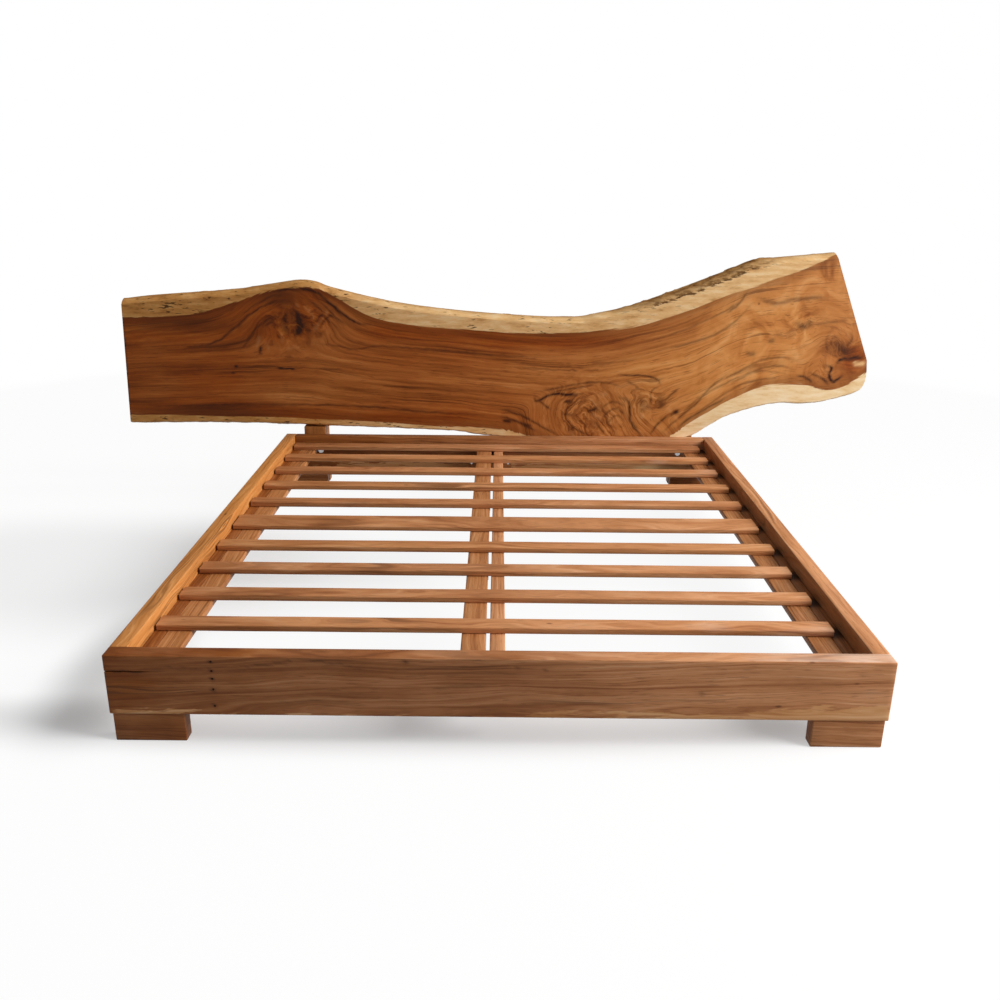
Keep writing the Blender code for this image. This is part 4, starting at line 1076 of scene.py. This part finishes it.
def peg_tree():
    """Low rough domes, one at each point: pegs driven into old nail holes and sanded almost flush."""
    tree, given = new_tree("pegs", ("Diameter", "Proud"))
    radius = add(tree, MATH, {0: given["Diameter"], 1: 0.5}, operation="MULTIPLY")
    dome = {"Segments": PEG_SEGMENTS, "Rings": PEG_RINGS, "Radius": radius}
    dome = add(tree, "GeometryNodeMeshUVSphere", dome)
    flatten = add(tree, MATH, {0: given["Proud"], 1: radius}, operation="DIVIDE")
    scale = add(tree, COMBINE, {"X": 1.0, "Y": flatten, "Z": 1.0})
    points = add(tree, "GeometryNodeMeshToPoints", {"Mesh": given["Points"]})
    pegs = add(tree, "GeometryNodeInstanceOnPoints", {"Points": points, "Instance": dome, "Scale": scale})
    pegs = add(tree, "GeometryNodeRealizeInstances", {"Geometry": pegs})
    place = add(tree, "GeometryNodeInputPosition")
    rough = add(tree, NOISE, {"Vector": place, "Scale": PEG_WAVES_PER_METRE}, out=1)
    rough = add(tree, VECTOR_MATH, {0: rough, 1: (0.5, 0.5, 0.5)}, operation="SUBTRACT")
    size = (PEG_ROUGHNESS, 0.0, PEG_ROUGHNESS)
    rough = add(tree, VECTOR_MATH, {0: rough, 1: size}, operation="MULTIPLY")
    pegs = add(tree, "GeometryNodeSetPosition", {"Geometry": pegs, "Offset": rough})
    pegs = add(tree, "GeometryNodeSetMaterial", {"Geometry": pegs, "Material": given["Material"]})
    add(tree, "NodeGroupOutput", {"Geometry": pegs}, out=None)
    return tree


def make_pegs(material):
    """The five pegs on the foot rail's face."""
    boxes = [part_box(node) for node in PEG_NODES]
    places = [((low.x + high.x) / 2, low.y, (low.z + high.z) / 2) for low, high in boxes]
    settings = {"Diameter": boxes[0][1].x - boxes[0][0].x, "Proud": PEG_PROUD, "Material": material}
    mesh = grow("foot_rail_pegs", places, (), peg_tree(), settings)
    mesh.shade_smooth()
    new_piece("foot_rail_pegs", mesh, material, SLOT_OF[PEG_NODES[0]], *PEG_NODES)


# Materials


def new_material(name):
    """A material with an empty node tree."""
    material = bpy.data.materials.new(name)
    material.use_nodes = True
    material.node_tree.nodes.clear()
    return material, material.node_tree


def streaks(tree, place, width_mm, stretch, detail=2.0, roughness=0.55, shift=0.0):
    """Noise drawn out along the grain, which runs along the first axis of place."""
    scale = 1000 / width_mm
    sized = {0: place, 1: (scale / stretch, scale, scale), 2: (shift, shift, shift)}
    sized = add(tree, VECTOR_MATH, sized, operation="MULTIPLY_ADD")
    return add(tree, NOISE, {"Vector": sized, "Scale": 1.0, "Detail": detail, "Roughness": roughness})


def ring_line(tree, value, half_width):
    """A thin line where noise passes its middle, so that it runs on along the rings."""
    off = add(tree, MATH, {0: value, 1: 0.5}, operation="SUBTRACT")
    off = add(tree, MATH, {0: off}, operation="ABSOLUTE")
    return add(tree, RANGE, {"Value": off, **span(half_width, 0.2 * half_width)}, **SMOOTH)


def slab_wood():
    """Rain tree, sawn along the trunk, sanded and oiled: a satin surface with red brown to golden heartwood,
    dark growth lines that wrap round the branches, and pale speckled sapwood under a rough wane. The heartwood
    is darker towards the left end partly as painted shade, and the wane is darkened by painted shade where it
    turns up."""
    material, tree = new_material("oiled_rain_tree_slab")
    place = add(tree, COORDINATES, out="Object")
    growth = add(tree, VALUE_AT, out="Vector", attribute_name="growth")
    sap = add(tree, VALUE_AT, out="Fac", attribute_name="sapwood")
    bark_and_shade = add(tree, VALUE_AT, out="Fac", attribute_name="bark_and_shade")
    rim = add(tree, VALUE_AT, out="Fac", attribute_name="rim")
    figure = add(tree, VALUE_AT, out="Fac", attribute_name="figure")
    golden_and_lit = add(tree, VALUE_AT, out="Fac", attribute_name="golden_and_lit")
    drawn = add(tree, VALUE_AT, out="Fac", attribute_name="drawn")

    # The grain sways a little everywhere and much where it is wild
    sway = add(tree, NOISE, {"Vector": place, "Scale": 1000 / 60, "Detail": 2.0}, out=1)
    sway = add(tree, VECTOR_MATH, {0: sway, 1: (0.5, 0.5, 0.5)}, operation="SUBTRACT")
    wild = add(tree, RANGE, {"Value": figure, **span(0.0, 1.0, 0.006, 0.060)})
    growth = add(tree, VECTOR_MATH, {0: sway, 1: wild, 2: growth}, operation="MULTIPLY_ADD")
    bands = streaks(tree, growth, 48, 22)
    fine = streaks(tree, growth, 13, 30, 4.0, 0.62, 5.0)
    grown = add(tree, MIX, {0: 0.5, 2: bands, 3: fine})
    feather = streaks(tree, growth, 16, 5, 3.0, 0.60, 71.0)
    feather = add(tree, RANGE, {"Value": feather, **span(0.30, 0.70, 0.20, 0.80)})
    feathered = add(tree, MATH, {0: figure, 1: 0.75}, operation="MULTIPLY")
    grown = add(tree, MIX, {0: feathered, 2: grown, 3: feather})
    way = add(tree, SEPARATE, {0: place}, out=None)
    cloudy = add(tree, RANGE, {"Value": way["X"], **span(*CLOUDY_SPAN, 0.0, 0.6)}, **SMOOTH)
    clouds = {"Vector": growth, "Scale": 1000 / 130, "Detail": 4.0, "Roughness": 0.5, "Distortion": 1.6}
    clouds = add(tree, NOISE, clouds)
    grown = add(tree, MIX, {0: cloudy, 2: grown, 3: clouds})
    red_heart = add(tree, RAMP, {"Fac": grown}, ramp=(
        (0.31, "#512006"), (0.45, "#8a4214"), (0.54, "#a3521b"), (0.68, "#be6c2b")))
    golden_heart = add(tree, RAMP, {"Fac": grown}, ramp=(
        (0.31, "#975420"), (0.45, "#cc8342"), (0.54, "#da9451"), (0.68, "#e8ac6c")))
    # The golden tone carries painted light and shade: paler to the right, darker to the left
    heart = add(tree, MIX, {0: golden_and_lit, 6: red_heart, 7: golden_heart}, **COLOUR)
    shade = add(tree, RANGE, {"Value": golden_and_lit, **span(0.0, -0.6, 0.0, 0.65)}, **SMOOTH)
    heart = add(tree, MIX, {0: shade, 6: heart, 7: linear("#4a210b")}, **COLOUR)
    quilt = streaks(tree, growth, 55, 2.2, 3.0, 0.6, 91.0)
    quilt = add(tree, RANGE, {"Value": quilt, **span(0.48, 0.66, 0.0, 0.75)}, **SMOOTH)
    quilt = add(tree, MATH, {0: quilt, 1: figure}, operation="MULTIPLY")
    heart = add(tree, MIX, {0: quilt, 6: heart, 7: linear("#7d431c")}, **COLOUR)

    # Growth lines are under 1 mm in the wood and are drawn 2 to 4 mm wide, to show at this distance
    lines = ring_line(tree, streaks(tree, growth, 34, 70, 2.0, 0.5, 11.0), 0.035)
    fainter = streaks(tree, growth, 80, 7, 2.0, 0.5, 23.0)
    fainter = add(tree, RANGE, {"Value": fainter, **span(0.44, 0.68, 0.0, 0.6)}, **SMOOTH)
    lines = add(tree, MATH, {0: lines, 1: fainter}, operation="MULTIPLY")
    heart = add(tree, MIX, {0: lines, 6: heart, 7: linear("#4a210b")}, **COLOUR)
    # Pores are hair-fine dashes of a few millimetres, drawn about 4 mm wide
    pores = streaks(tree, growth, 5, 14, 1.0, 0.5, 47.0)
    pores = add(tree, RANGE, {"Value": pores, **span(0.60, 0.72, 0.0, 0.40)}, **SMOOTH)
    heart = add(tree, MIX, {0: pores, 6: heart, 7: linear("#55290f")}, **COLOUR)
    # Heartwood is darkest next to the sapwood
    near_sap = add(tree, RANGE, {"Value": fine, **span(0.3, 0.7, -0.02, 0.02)})
    near_sap = add(tree, MATH, {0: sap, 1: near_sap}, operation="ADD")
    near_sap = add(tree, RANGE, {"Value": near_sap, **span(-0.06, 0.0, 0.0, 0.40)}, **SMOOTH)
    heart = add(tree, MIX, {0: near_sap, 6: heart, 7: linear("#5a2b10")}, **COLOUR)
    broken = add(tree, RANGE, {"Value": feather, **span(0.30, 0.75, 1.5, 0.9)}, **SMOOTH)
    dark = add(tree, MATH, {0: drawn, 1: broken}, operation="MULTIPLY", use_clamp=True)
    light = add(tree, RANGE, {"Value": feather, **span(0.30, 0.75, -0.45, -1.00)}, **SMOOTH)
    light = add(tree, MATH, {0: drawn, 1: light}, operation="MULTIPLY", use_clamp=True)
    heart = add(tree, MIX, {0: dark, 6: heart, 7: linear("#35170a")}, **COLOUR)
    heart = add(tree, MIX, {0: light, 6: heart, 7: linear("#ecba80")}, **COLOUR)

    mottle = streaks(tree, place, 20, 5, 4.0, 0.65, 13.0)
    amber = add(tree, RAMP, {"Fac": mottle}, ramp=(
        (0.30, "#9c6531"), (0.41, "#bd8244"), (0.53, "#cb9050"), (0.66, "#d9a565")))
    cream = add(tree, RAMP, {"Fac": mottle}, ramp=(
        (0.30, "#c99459"), (0.41, "#e0b176"), (0.53, "#ebbf85"), (0.66, "#f3d09d")))
    ivory = add(tree, RAMP, {"Fac": mottle}, ramp=((0.30, "#e9c088"), (0.46, "#f8d8a6"), (0.64, "#ffe6be")))
    # Sapwood is amber at the left end, cream further on and ivory at the lower right edge
    faded = add(tree, RANGE, {"Value": way["X"], **span(-0.95, -0.45)}, **SMOOTH)
    pale = add(tree, MIX, {0: faded, 6: amber, 7: cream}, **COLOUR)
    bleached_or_sheen = add(tree, RANGE, {"Value": way["X"], **span(0.60, 0.90)}, **SMOOTH)
    lower = add(tree, RANGE, {"Value": way["Z"], **span(0.80, 0.60, 0.0, 0.85)}, **SMOOTH)
    bleached_or_sheen = add(tree, MATH, {0: bleached_or_sheen, 1: lower}, operation="MULTIPLY")
    pale = add(tree, MIX, {0: bleached_or_sheen, 6: pale, 7: ivory}, **COLOUR)
    specks = streaks(tree, place, 9, 5, 2.0, 0.6, 3.0)
    specks = add(tree, MATH, {0: rim, 1: 0.17, 2: specks}, operation="MULTIPLY_ADD")
    specks = add(tree, RANGE, {"Value": specks, **span(0.60, 0.68)}, **SMOOTH)
    patches = add(tree, NOISE, {"Vector": place, "Scale": 1000 / 150, "Detail": 1.0})
    patches = add(tree, RANGE, {"Value": patches, **span(0.36, 0.54)}, **SMOOTH)
    calmer = add(tree, RANGE, {"Value": way["X"], **span(0.20, 0.50, 1.0, 0.25)}, **SMOOTH)
    patches = add(tree, MATH, {0: patches, 1: calmer}, operation="MULTIPLY")
    patches = add(tree, MATH, {0: patches, 1: bleached_or_sheen}, operation="SUBTRACT", use_clamp=True)
    patches = add(tree, MATH, {0: patches, 1: rim}, operation="MAXIMUM")
    specks = add(tree, MATH, {0: specks, 1: patches}, operation="MULTIPLY")
    pale = add(tree, MIX, {0: specks, 6: pale, 7: linear("#5a3c1c")}, **COLOUR)
    ragged = add(tree, RANGE, {"Value": fine, **span(0.3, 0.7, -0.006, 0.006)})
    ragged = add(tree, MATH, {0: sap, 1: ragged}, operation="ADD")
    is_sap = add(tree, RANGE, {"Value": ragged, **span(-0.003, 0.003)}, **SMOOTH)
    colour = add(tree, MIX, {0: is_sap, 6: heart, 7: pale}, **COLOUR)

    crust = streaks(tree, place, 16, 3.5, 4.0, 0.65, 29.0)
    rind = add(tree, RAMP, {"Fac": crust}, ramp=((0.34, "#6d451c"), (0.46, "#946634"), (0.64, "#b58750")))
    # The rind colour stands for bark, and for painted shade where the wane turns up to the light
    colour = add(tree, MIX, {0: bark_and_shade, 6: colour, 7: rind}, **COLOUR)
    satin = add(tree, RANGE, {"Value": fine, **span(0.3, 0.7, 0.52, 0.42)})
    satin = add(tree, MATH, {0: bark_and_shade, 1: 0.35, 2: satin}, operation="MULTIPLY_ADD")
    crusted = add(tree, MATH, {0: crust, 1: bark_and_shade}, operation="MULTIPLY")
    crusted = add(tree, MATH, {0: crusted, 1: 2.0}, operation="MULTIPLY")
    relief = add(tree, MATH, {0: fine, 1: 0.25, 2: crusted}, operation="MULTIPLY_ADD")
    bump = add(tree, "ShaderNodeBump", {"Height": relief, "Strength": 0.35, "Distance": 0.002})
    surface = {"Base Color": colour, "Roughness": satin, "Normal": bump, "Specular IOR Level": SLAB_GLOSS}
    surface = add(tree, "ShaderNodeBsdfPrincipled", surface)
    add(tree, "ShaderNodeOutputMaterial", {"Surface": surface}, out=None)
    return material


def board_wood():
    """Rain tree boards, planed, sanded and oiled: satin, with fine straight grain, darker growth lines, pin
    knots and a little pale sapwood at the edges. Each board has its own tone, from dark brown to pale tan or
    orange, and some boards carry painted light, shade and sheen along them."""
    material, tree = new_material("oiled_rain_tree_boards")
    grain = add(tree, VALUE_AT, out="Vector", attribute_name="grain")
    light = add(tree, VALUE_AT, out="Fac", attribute_name="light")
    orange = add(tree, VALUE_AT, out="Fac", attribute_name="orange")
    sap = add(tree, VALUE_AT, out="Fac", attribute_name="sapwood")
    drawn = add(tree, VALUE_AT, out="Fac", attribute_name="drawn")
    end = add(tree, VALUE_AT, out="Fac", attribute_name="end")
    parts = add(tree, SEPARATE, {0: grain}, out=None)
    section = add(tree, COMBINE, {"Y": parts["Y"], "Z": parts["Z"]})
    radius = add(tree, VECTOR_MATH, {0: section}, out="Value", operation="LENGTH")
    waver = streaks(tree, grain, 110, 5.0)
    waver = add(tree, RANGE, {"Value": waver, **span(0.3, 0.7, -0.014, 0.014)})
    radius = add(tree, MATH, {0: radius, 1: waver}, operation="ADD")
    rings = add(tree, COMBINE, {"X": parts["X"], "Y": radius})

    bands = streaks(tree, rings, 30, 40)
    fine = streaks(tree, rings, 7, 70, 4.0, 0.62, 5.0)
    grown = add(tree, MIX, {0: 0.65, 2: bands, 3: fine})
    stops = (0.34, 0.46, 0.55, 0.67)
    dark = add(tree, RAMP, {"Fac": grown}, ramp=zip(stops, ("#5b2c0f", "#743c16", "#864a1d", "#9c5e2c")))
    tan = add(tree, RAMP, {"Fac": grown}, ramp=zip(stops, ("#a0633d", "#c28457", "#d09366", "#e1ab82")))
    warm = add(tree, RAMP, {"Fac": grown}, ramp=zip(stops, ("#a1602a", "#c37f3f", "#d28f4e", "#e4aa6a")))
    clouds = streaks(tree, grain, 70, 3.0, 3.0, 0.55, 17.0)
    clouds = add(tree, RANGE, {"Value": clouds, **span(0.3, 0.7, -0.18, 0.18)})
    light = add(tree, MATH, {0: light, 1: clouds}, operation="ADD")
    colour = add(tree, MIX, {0: light, 6: dark, 7: tan}, **COLOUR)
    colour = add(tree, MIX, {0: orange, 6: colour, 7: warm}, **COLOUR)
    # Painted sheen: where the light value goes over 1, the colour turns pale grey, as at the right end of the
    # foot rail's top and of the palest slats
    bleached_or_sheen = add(tree, RANGE, {"Value": light, **span(1.0, 1.5, 0.0, 0.7)}, **SMOOTH)
    colour = add(tree, MIX, {0: bleached_or_sheen, 6: colour, 7: linear("#e4cab5")}, **COLOUR)
    # Growth lines and pores are under 1 mm in the wood and are drawn 2 to 3 mm wide, to show at this distance
    lines = ring_line(tree, streaks(tree, rings, 24, 90, 2.0, 0.5, 11.0), 0.030)
    fainter = streaks(tree, rings, 60, 10, 2.0, 0.5, 23.0)
    fainter = add(tree, RANGE, {"Value": fainter, **span(0.46, 0.70, 0.0, 0.55)}, **SMOOTH)
    lines = add(tree, MATH, {0: lines, 1: fainter}, operation="MULTIPLY")
    colour = add(tree, MIX, {0: lines, 6: colour, 7: linear("#472815")}, **COLOUR)
    pores = streaks(tree, grain, 3, 16, 1.0, 0.5, 47.0)
    pores = add(tree, RANGE, {"Value": pores, **span(0.58, 0.70, 0.0, 0.30)}, **SMOOTH)
    colour = add(tree, MIX, {0: pores, 6: colour, 7: linear("#54311a")}, **COLOUR)
    cells = add(tree, VECTOR_MATH, {0: grain, 1: (4.0, 9.0, 9.0)}, operation="MULTIPLY")
    knots = add(tree, "ShaderNodeTexVoronoi", {"Vector": cells, "Scale": 1.0}, out="Distance")
    knots = add(tree, RANGE, {"Value": knots, **span(0.05, 0.02, 0.0, 0.6)}, **SMOOTH)
    colour = add(tree, MIX, {0: knots, 6: colour, 7: linear("#3f2312")}, **COLOUR)
    # Drawn marks are the foot rail's dark lines, pin knots and peg stains, with painted shade along its crack
    # and on the right cleat beside the slats' ends
    colour = add(tree, MIX, {0: drawn, 6: colour, 7: linear("#2f190c")}, **COLOUR)
    # End grain is darker
    ends = add(tree, RANGE, {"Value": end, **span(0.0, 1.0, 0.0, 0.30)})
    colour = add(tree, MIX, {0: ends, 6: colour, 7: linear("#3d2110")}, **COLOUR)
    flecks = streaks(tree, grain, 14, 7, 3.0, 0.6, 61.0)
    flecks = add(tree, RANGE, {"Value": flecks, **span(0.35, 0.65, -0.038, -0.003)})
    ragged = add(tree, MATH, {0: sap, 1: flecks}, operation="ADD")
    is_sap = add(tree, RANGE, {"Value": ragged, **span(-0.002, 0.008, 0.0, 0.9)}, **SMOOTH)
    pale = add(tree, RAMP, {"Fac": fine}, ramp=((0.32, "#b67a48"), (0.48, "#d29762"), (0.66, "#e2b080")))
    # Deep strips of sapwood turn very pale: partly the sapwood's own colour and partly painted light on the
    # head rail's shaded lower face
    deep_pale_and_lit = add(tree, RANGE, {"Value": sap, **span(0.060, 0.085)}, **SMOOTH)
    pale = add(tree, MIX, {0: deep_pale_and_lit, 6: pale, 7: linear("#f6d29a")}, **COLOUR)
    colour = add(tree, MIX, {0: is_sap, 6: colour, 7: pale}, **COLOUR)
    satin = add(tree, RANGE, {"Value": fine, **span(0.3, 0.7, 0.54, 0.45)})
    relief = add(tree, MATH, {0: fine, 1: pores}, operation="ADD")
    bump = add(tree, "ShaderNodeBump", {"Height": relief, "Strength": 0.25, "Distance": 0.001})
    surface = {"Base Color": colour, "Roughness": satin, "Normal": bump, "Specular IOR Level": BOARD_GLOSS}
    surface = add(tree, "ShaderNodeBsdfPrincipled", surface)
    add(tree, "ShaderNodeOutputMaterial", {"Surface": surface}, out=None)
    return material


def peg_wood():
    """Dark filler and end grain in old nail holes, sanded almost flush: nearly black and dull."""
    material, tree = new_material("dark_peg_end_grain")
    place = add(tree, COORDINATES, out="Object")
    specks = add(tree, NOISE, {"Vector": place, "Scale": 1000 / 2.0, "Detail": 2.0})
    colour = add(tree, RAMP, {"Fac": specks}, ramp=((0.35, "#160b05"), (0.65, "#38200f")))
    dull = add(tree, RANGE, {"Value": specks, **span(0.3, 0.7, 0.8, 0.6)})
    surface = {"Base Color": colour, "Roughness": dull, "Specular IOR Level": PEG_GLOSS}
    surface = add(tree, "ShaderNodeBsdfPrincipled", surface)
    add(tree, "ShaderNodeOutputMaterial", {"Surface": surface}, out=None)
    return material


def zinc_steel():
    """Steel with bright zinc plating: pale grey metal, slightly cloudy, with a soft gloss."""
    material, tree = new_material("zinc_plated_steel")
    place = add(tree, COORDINATES, out="Object")
    cloudy = add(tree, NOISE, {"Vector": place, "Scale": 1000 / 5.0, "Detail": 3.0})
    colour = add(tree, RAMP, {"Fac": cloudy}, ramp=((0.35, "#b4b8bc"), (0.65, "#d6d9db")))
    gloss = add(tree, RANGE, {"Value": cloudy, **span(0.3, 0.7, 0.30, 0.42)})
    surface = {"Base Color": colour, "Roughness": gloss, "Metallic": 1.0}
    surface = add(tree, "ShaderNodeBsdfPrincipled", surface)
    add(tree, "ShaderNodeOutputMaterial", {"Surface": surface}, out=None)
    return material


def finish_fasteners(material):
    """Gives the bolts, nuts and lag screws, which stay as they are, their finish."""
    for name, node in frame["nodes"].items():
        if name.startswith(("post_bolt", "post_nut", "slab_lag_screw")):
            node.data.materials.clear()
            node.data.materials.append(material)


# Stage


def make_camera():
    """The photograph's camera."""
    data = bpy.data.cameras.new("camera")
    data.sensor_width = SENSOR_MM
    data.lens = FOCAL_PX / IMAGE_PX * SENSOR_MM
    data.shift_x = (IMAGE_PX / 2 - AXIS_PX[0]) / IMAGE_PX
    data.shift_y = (AXIS_PX[1] - IMAGE_PX / 2) / IMAGE_PX
    level = math.cos(CAMERA_PITCH)
    forward = Vector((math.sin(CAMERA_YAW) * level, math.cos(CAMERA_YAW) * level, -math.sin(CAMERA_PITCH)))
    right = Vector((math.cos(CAMERA_YAW), -math.sin(CAMERA_YAW), 0.0))
    above = right.cross(forward)
    turned_right = math.cos(CAMERA_ROLL) * right + math.sin(CAMERA_ROLL) * above
    turned_up = math.cos(CAMERA_ROLL) * above - math.sin(CAMERA_ROLL) * right
    turned = Matrix((turned_right, turned_up, -forward)).transposed().to_4x4()
    camera = bpy.data.objects.new("camera", data)
    camera.matrix_world = Matrix.Translation(CAMERA_PLACE) @ turned
    bpy.context.scene.collection.objects.link(camera)
    bpy.context.scene.camera = camera


def background_rays(tree):
    """One for the rays that show the background itself: from the camera, or in a reflection or glass."""
    rays = add(tree, "ShaderNodeLightPath", out=None)
    seen = add(tree, MATH, {0: rays["Is Camera Ray"], 1: rays["Is Glossy Ray"]}, operation="MAXIMUM")
    return add(tree, MATH, {0: seen, 1: rays["Is Transmission Ray"]}, operation="MAXIMUM")


def make_floor():
    """A matt floor, seen white, that keeps the bed's shadow near it and fades into the background."""
    mesh = bpy.data.meshes.new("floor")
    corners = [(x * FLOOR_REACH, y * FLOOR_REACH, 0) for x, y in ((-1, -1), (1, -1), (1, 1), (-1, 1))]
    mesh.from_pydata(corners, [], [(0, 1, 2, 3)])
    floor = bpy.data.objects.new("floor", mesh)
    bpy.context.scene.collection.objects.link(floor)
    material, tree = new_material("matt_floor_paint")
    seen = background_rays(tree)
    paint = add(tree, MIX, {0: seen, 6: linear(FLOOR_BOUNCE), 7: linear(FLOOR_SEEN)}, **COLOUR)
    paint = add(tree, "ShaderNodeBsdfDiffuse", {"Color": paint})
    place = add(tree, COORDINATES, out="Object")
    white = seen
    for (middle_x, middle_y), (span_x, span_y), whitening in SHADOWS:
        sized = {0: place, 1: (1 / span_x, 1 / span_y, 0.0), 2: (-middle_x / span_x, -middle_y / span_y, 0.0)}
        sized = add(tree, VECTOR_MATH, sized, operation="MULTIPLY_ADD")
        away = add(tree, VECTOR_MATH, {0: sized}, out="Value", operation="LENGTH")
        kept = add(tree, RANGE, {"Value": away, **span(*SHADOW_FADE, *whitening)}, **SMOOTH)
        white = add(tree, MATH, {0: white, 1: kept}, operation="MULTIPLY")
    far = add(tree, VECTOR_MATH, {0: place}, out="Value", operation="LENGTH")
    far = add(tree, RANGE, {"Value": far, **span(*FLOOR_FADE)}, **SMOOTH)
    far = add(tree, MATH, {0: far, 1: seen}, operation="MULTIPLY")
    white = add(tree, MATH, {0: white, 1: far}, operation="MAXIMUM")
    glow = add(tree, "ShaderNodeEmission", {"Strength": 1.0})
    surface = add(tree, "ShaderNodeMixShader", {0: white, 1: paint, 2: glow})
    add(tree, "ShaderNodeOutputMaterial", {"Surface": surface}, out=None)
    mesh.materials.append(material)


def make_light():
    """Soft studio light: a dim even room, a wide soft sun from the right, a soft box at the front right."""
    world = bpy.data.worlds.new("studio")
    bpy.context.scene.world = world
    world.use_nodes = True
    tree = world.node_tree
    tree.nodes.clear()
    rays = add(tree, "ShaderNodeLightPath", out=None)
    direction = add(tree, SEPARATE, {0: add(tree, COORDINATES, out="Generated")}, out="X")
    mirrored = add(tree, RANGE, {"Value": direction, **span(*MIRRORED_SPAN, *MIRRORED_LIGHT)}, **SMOOTH)
    plain = add(tree, MATH, {0: rays["Is Camera Ray"], 1: rays["Is Transmission Ray"]}, operation="MAXIMUM")
    strength = add(tree, MIX, {0: rays["Is Glossy Ray"], 2: ROOM_LIGHT, 3: mirrored})
    strength = add(tree, MIX, {0: plain, 2: strength, 3: 1.0})
    room = add(tree, "ShaderNodeBackground", {"Color": (1, 1, 1, 1), "Strength": strength})
    add(tree, "ShaderNodeOutputWorld", {"Surface": room}, out=None)
    sun = bpy.data.lights.new("soft_sun", "SUN")
    sun.energy = SUN_STRENGTH
    sun.angle = SUN_ANGLE
    box = bpy.data.lights.new("soft_box", "AREA")
    box.size = SOFT_BOX_SIZE
    box.energy = SOFT_BOX_WATTS
    for data, place, aim in ((sun, SUN_PLACE, SUN_AIM), (box, SOFT_BOX_PLACE, SOFT_BOX_AIM)):
        lamp = bpy.data.objects.new(data.name, data)
        lamp.location = place
        lamp.rotation_euler = (Vector(aim) - Vector(place)).to_track_quat("-Z", "Y").to_euler()
        bpy.context.scene.collection.objects.link(lamp)
    bpy.context.scene.view_settings.view_transform = "Standard"


make_camera()
make_floor()
make_light()
boards_finish = board_wood()
steel = zinc_steel()
make_slab(slab_wood())
make_boards(boards_finish)
make_slats(boards_finish)
make_screws(steel)
make_pegs(peg_wood())
finish_fasteners(steel)
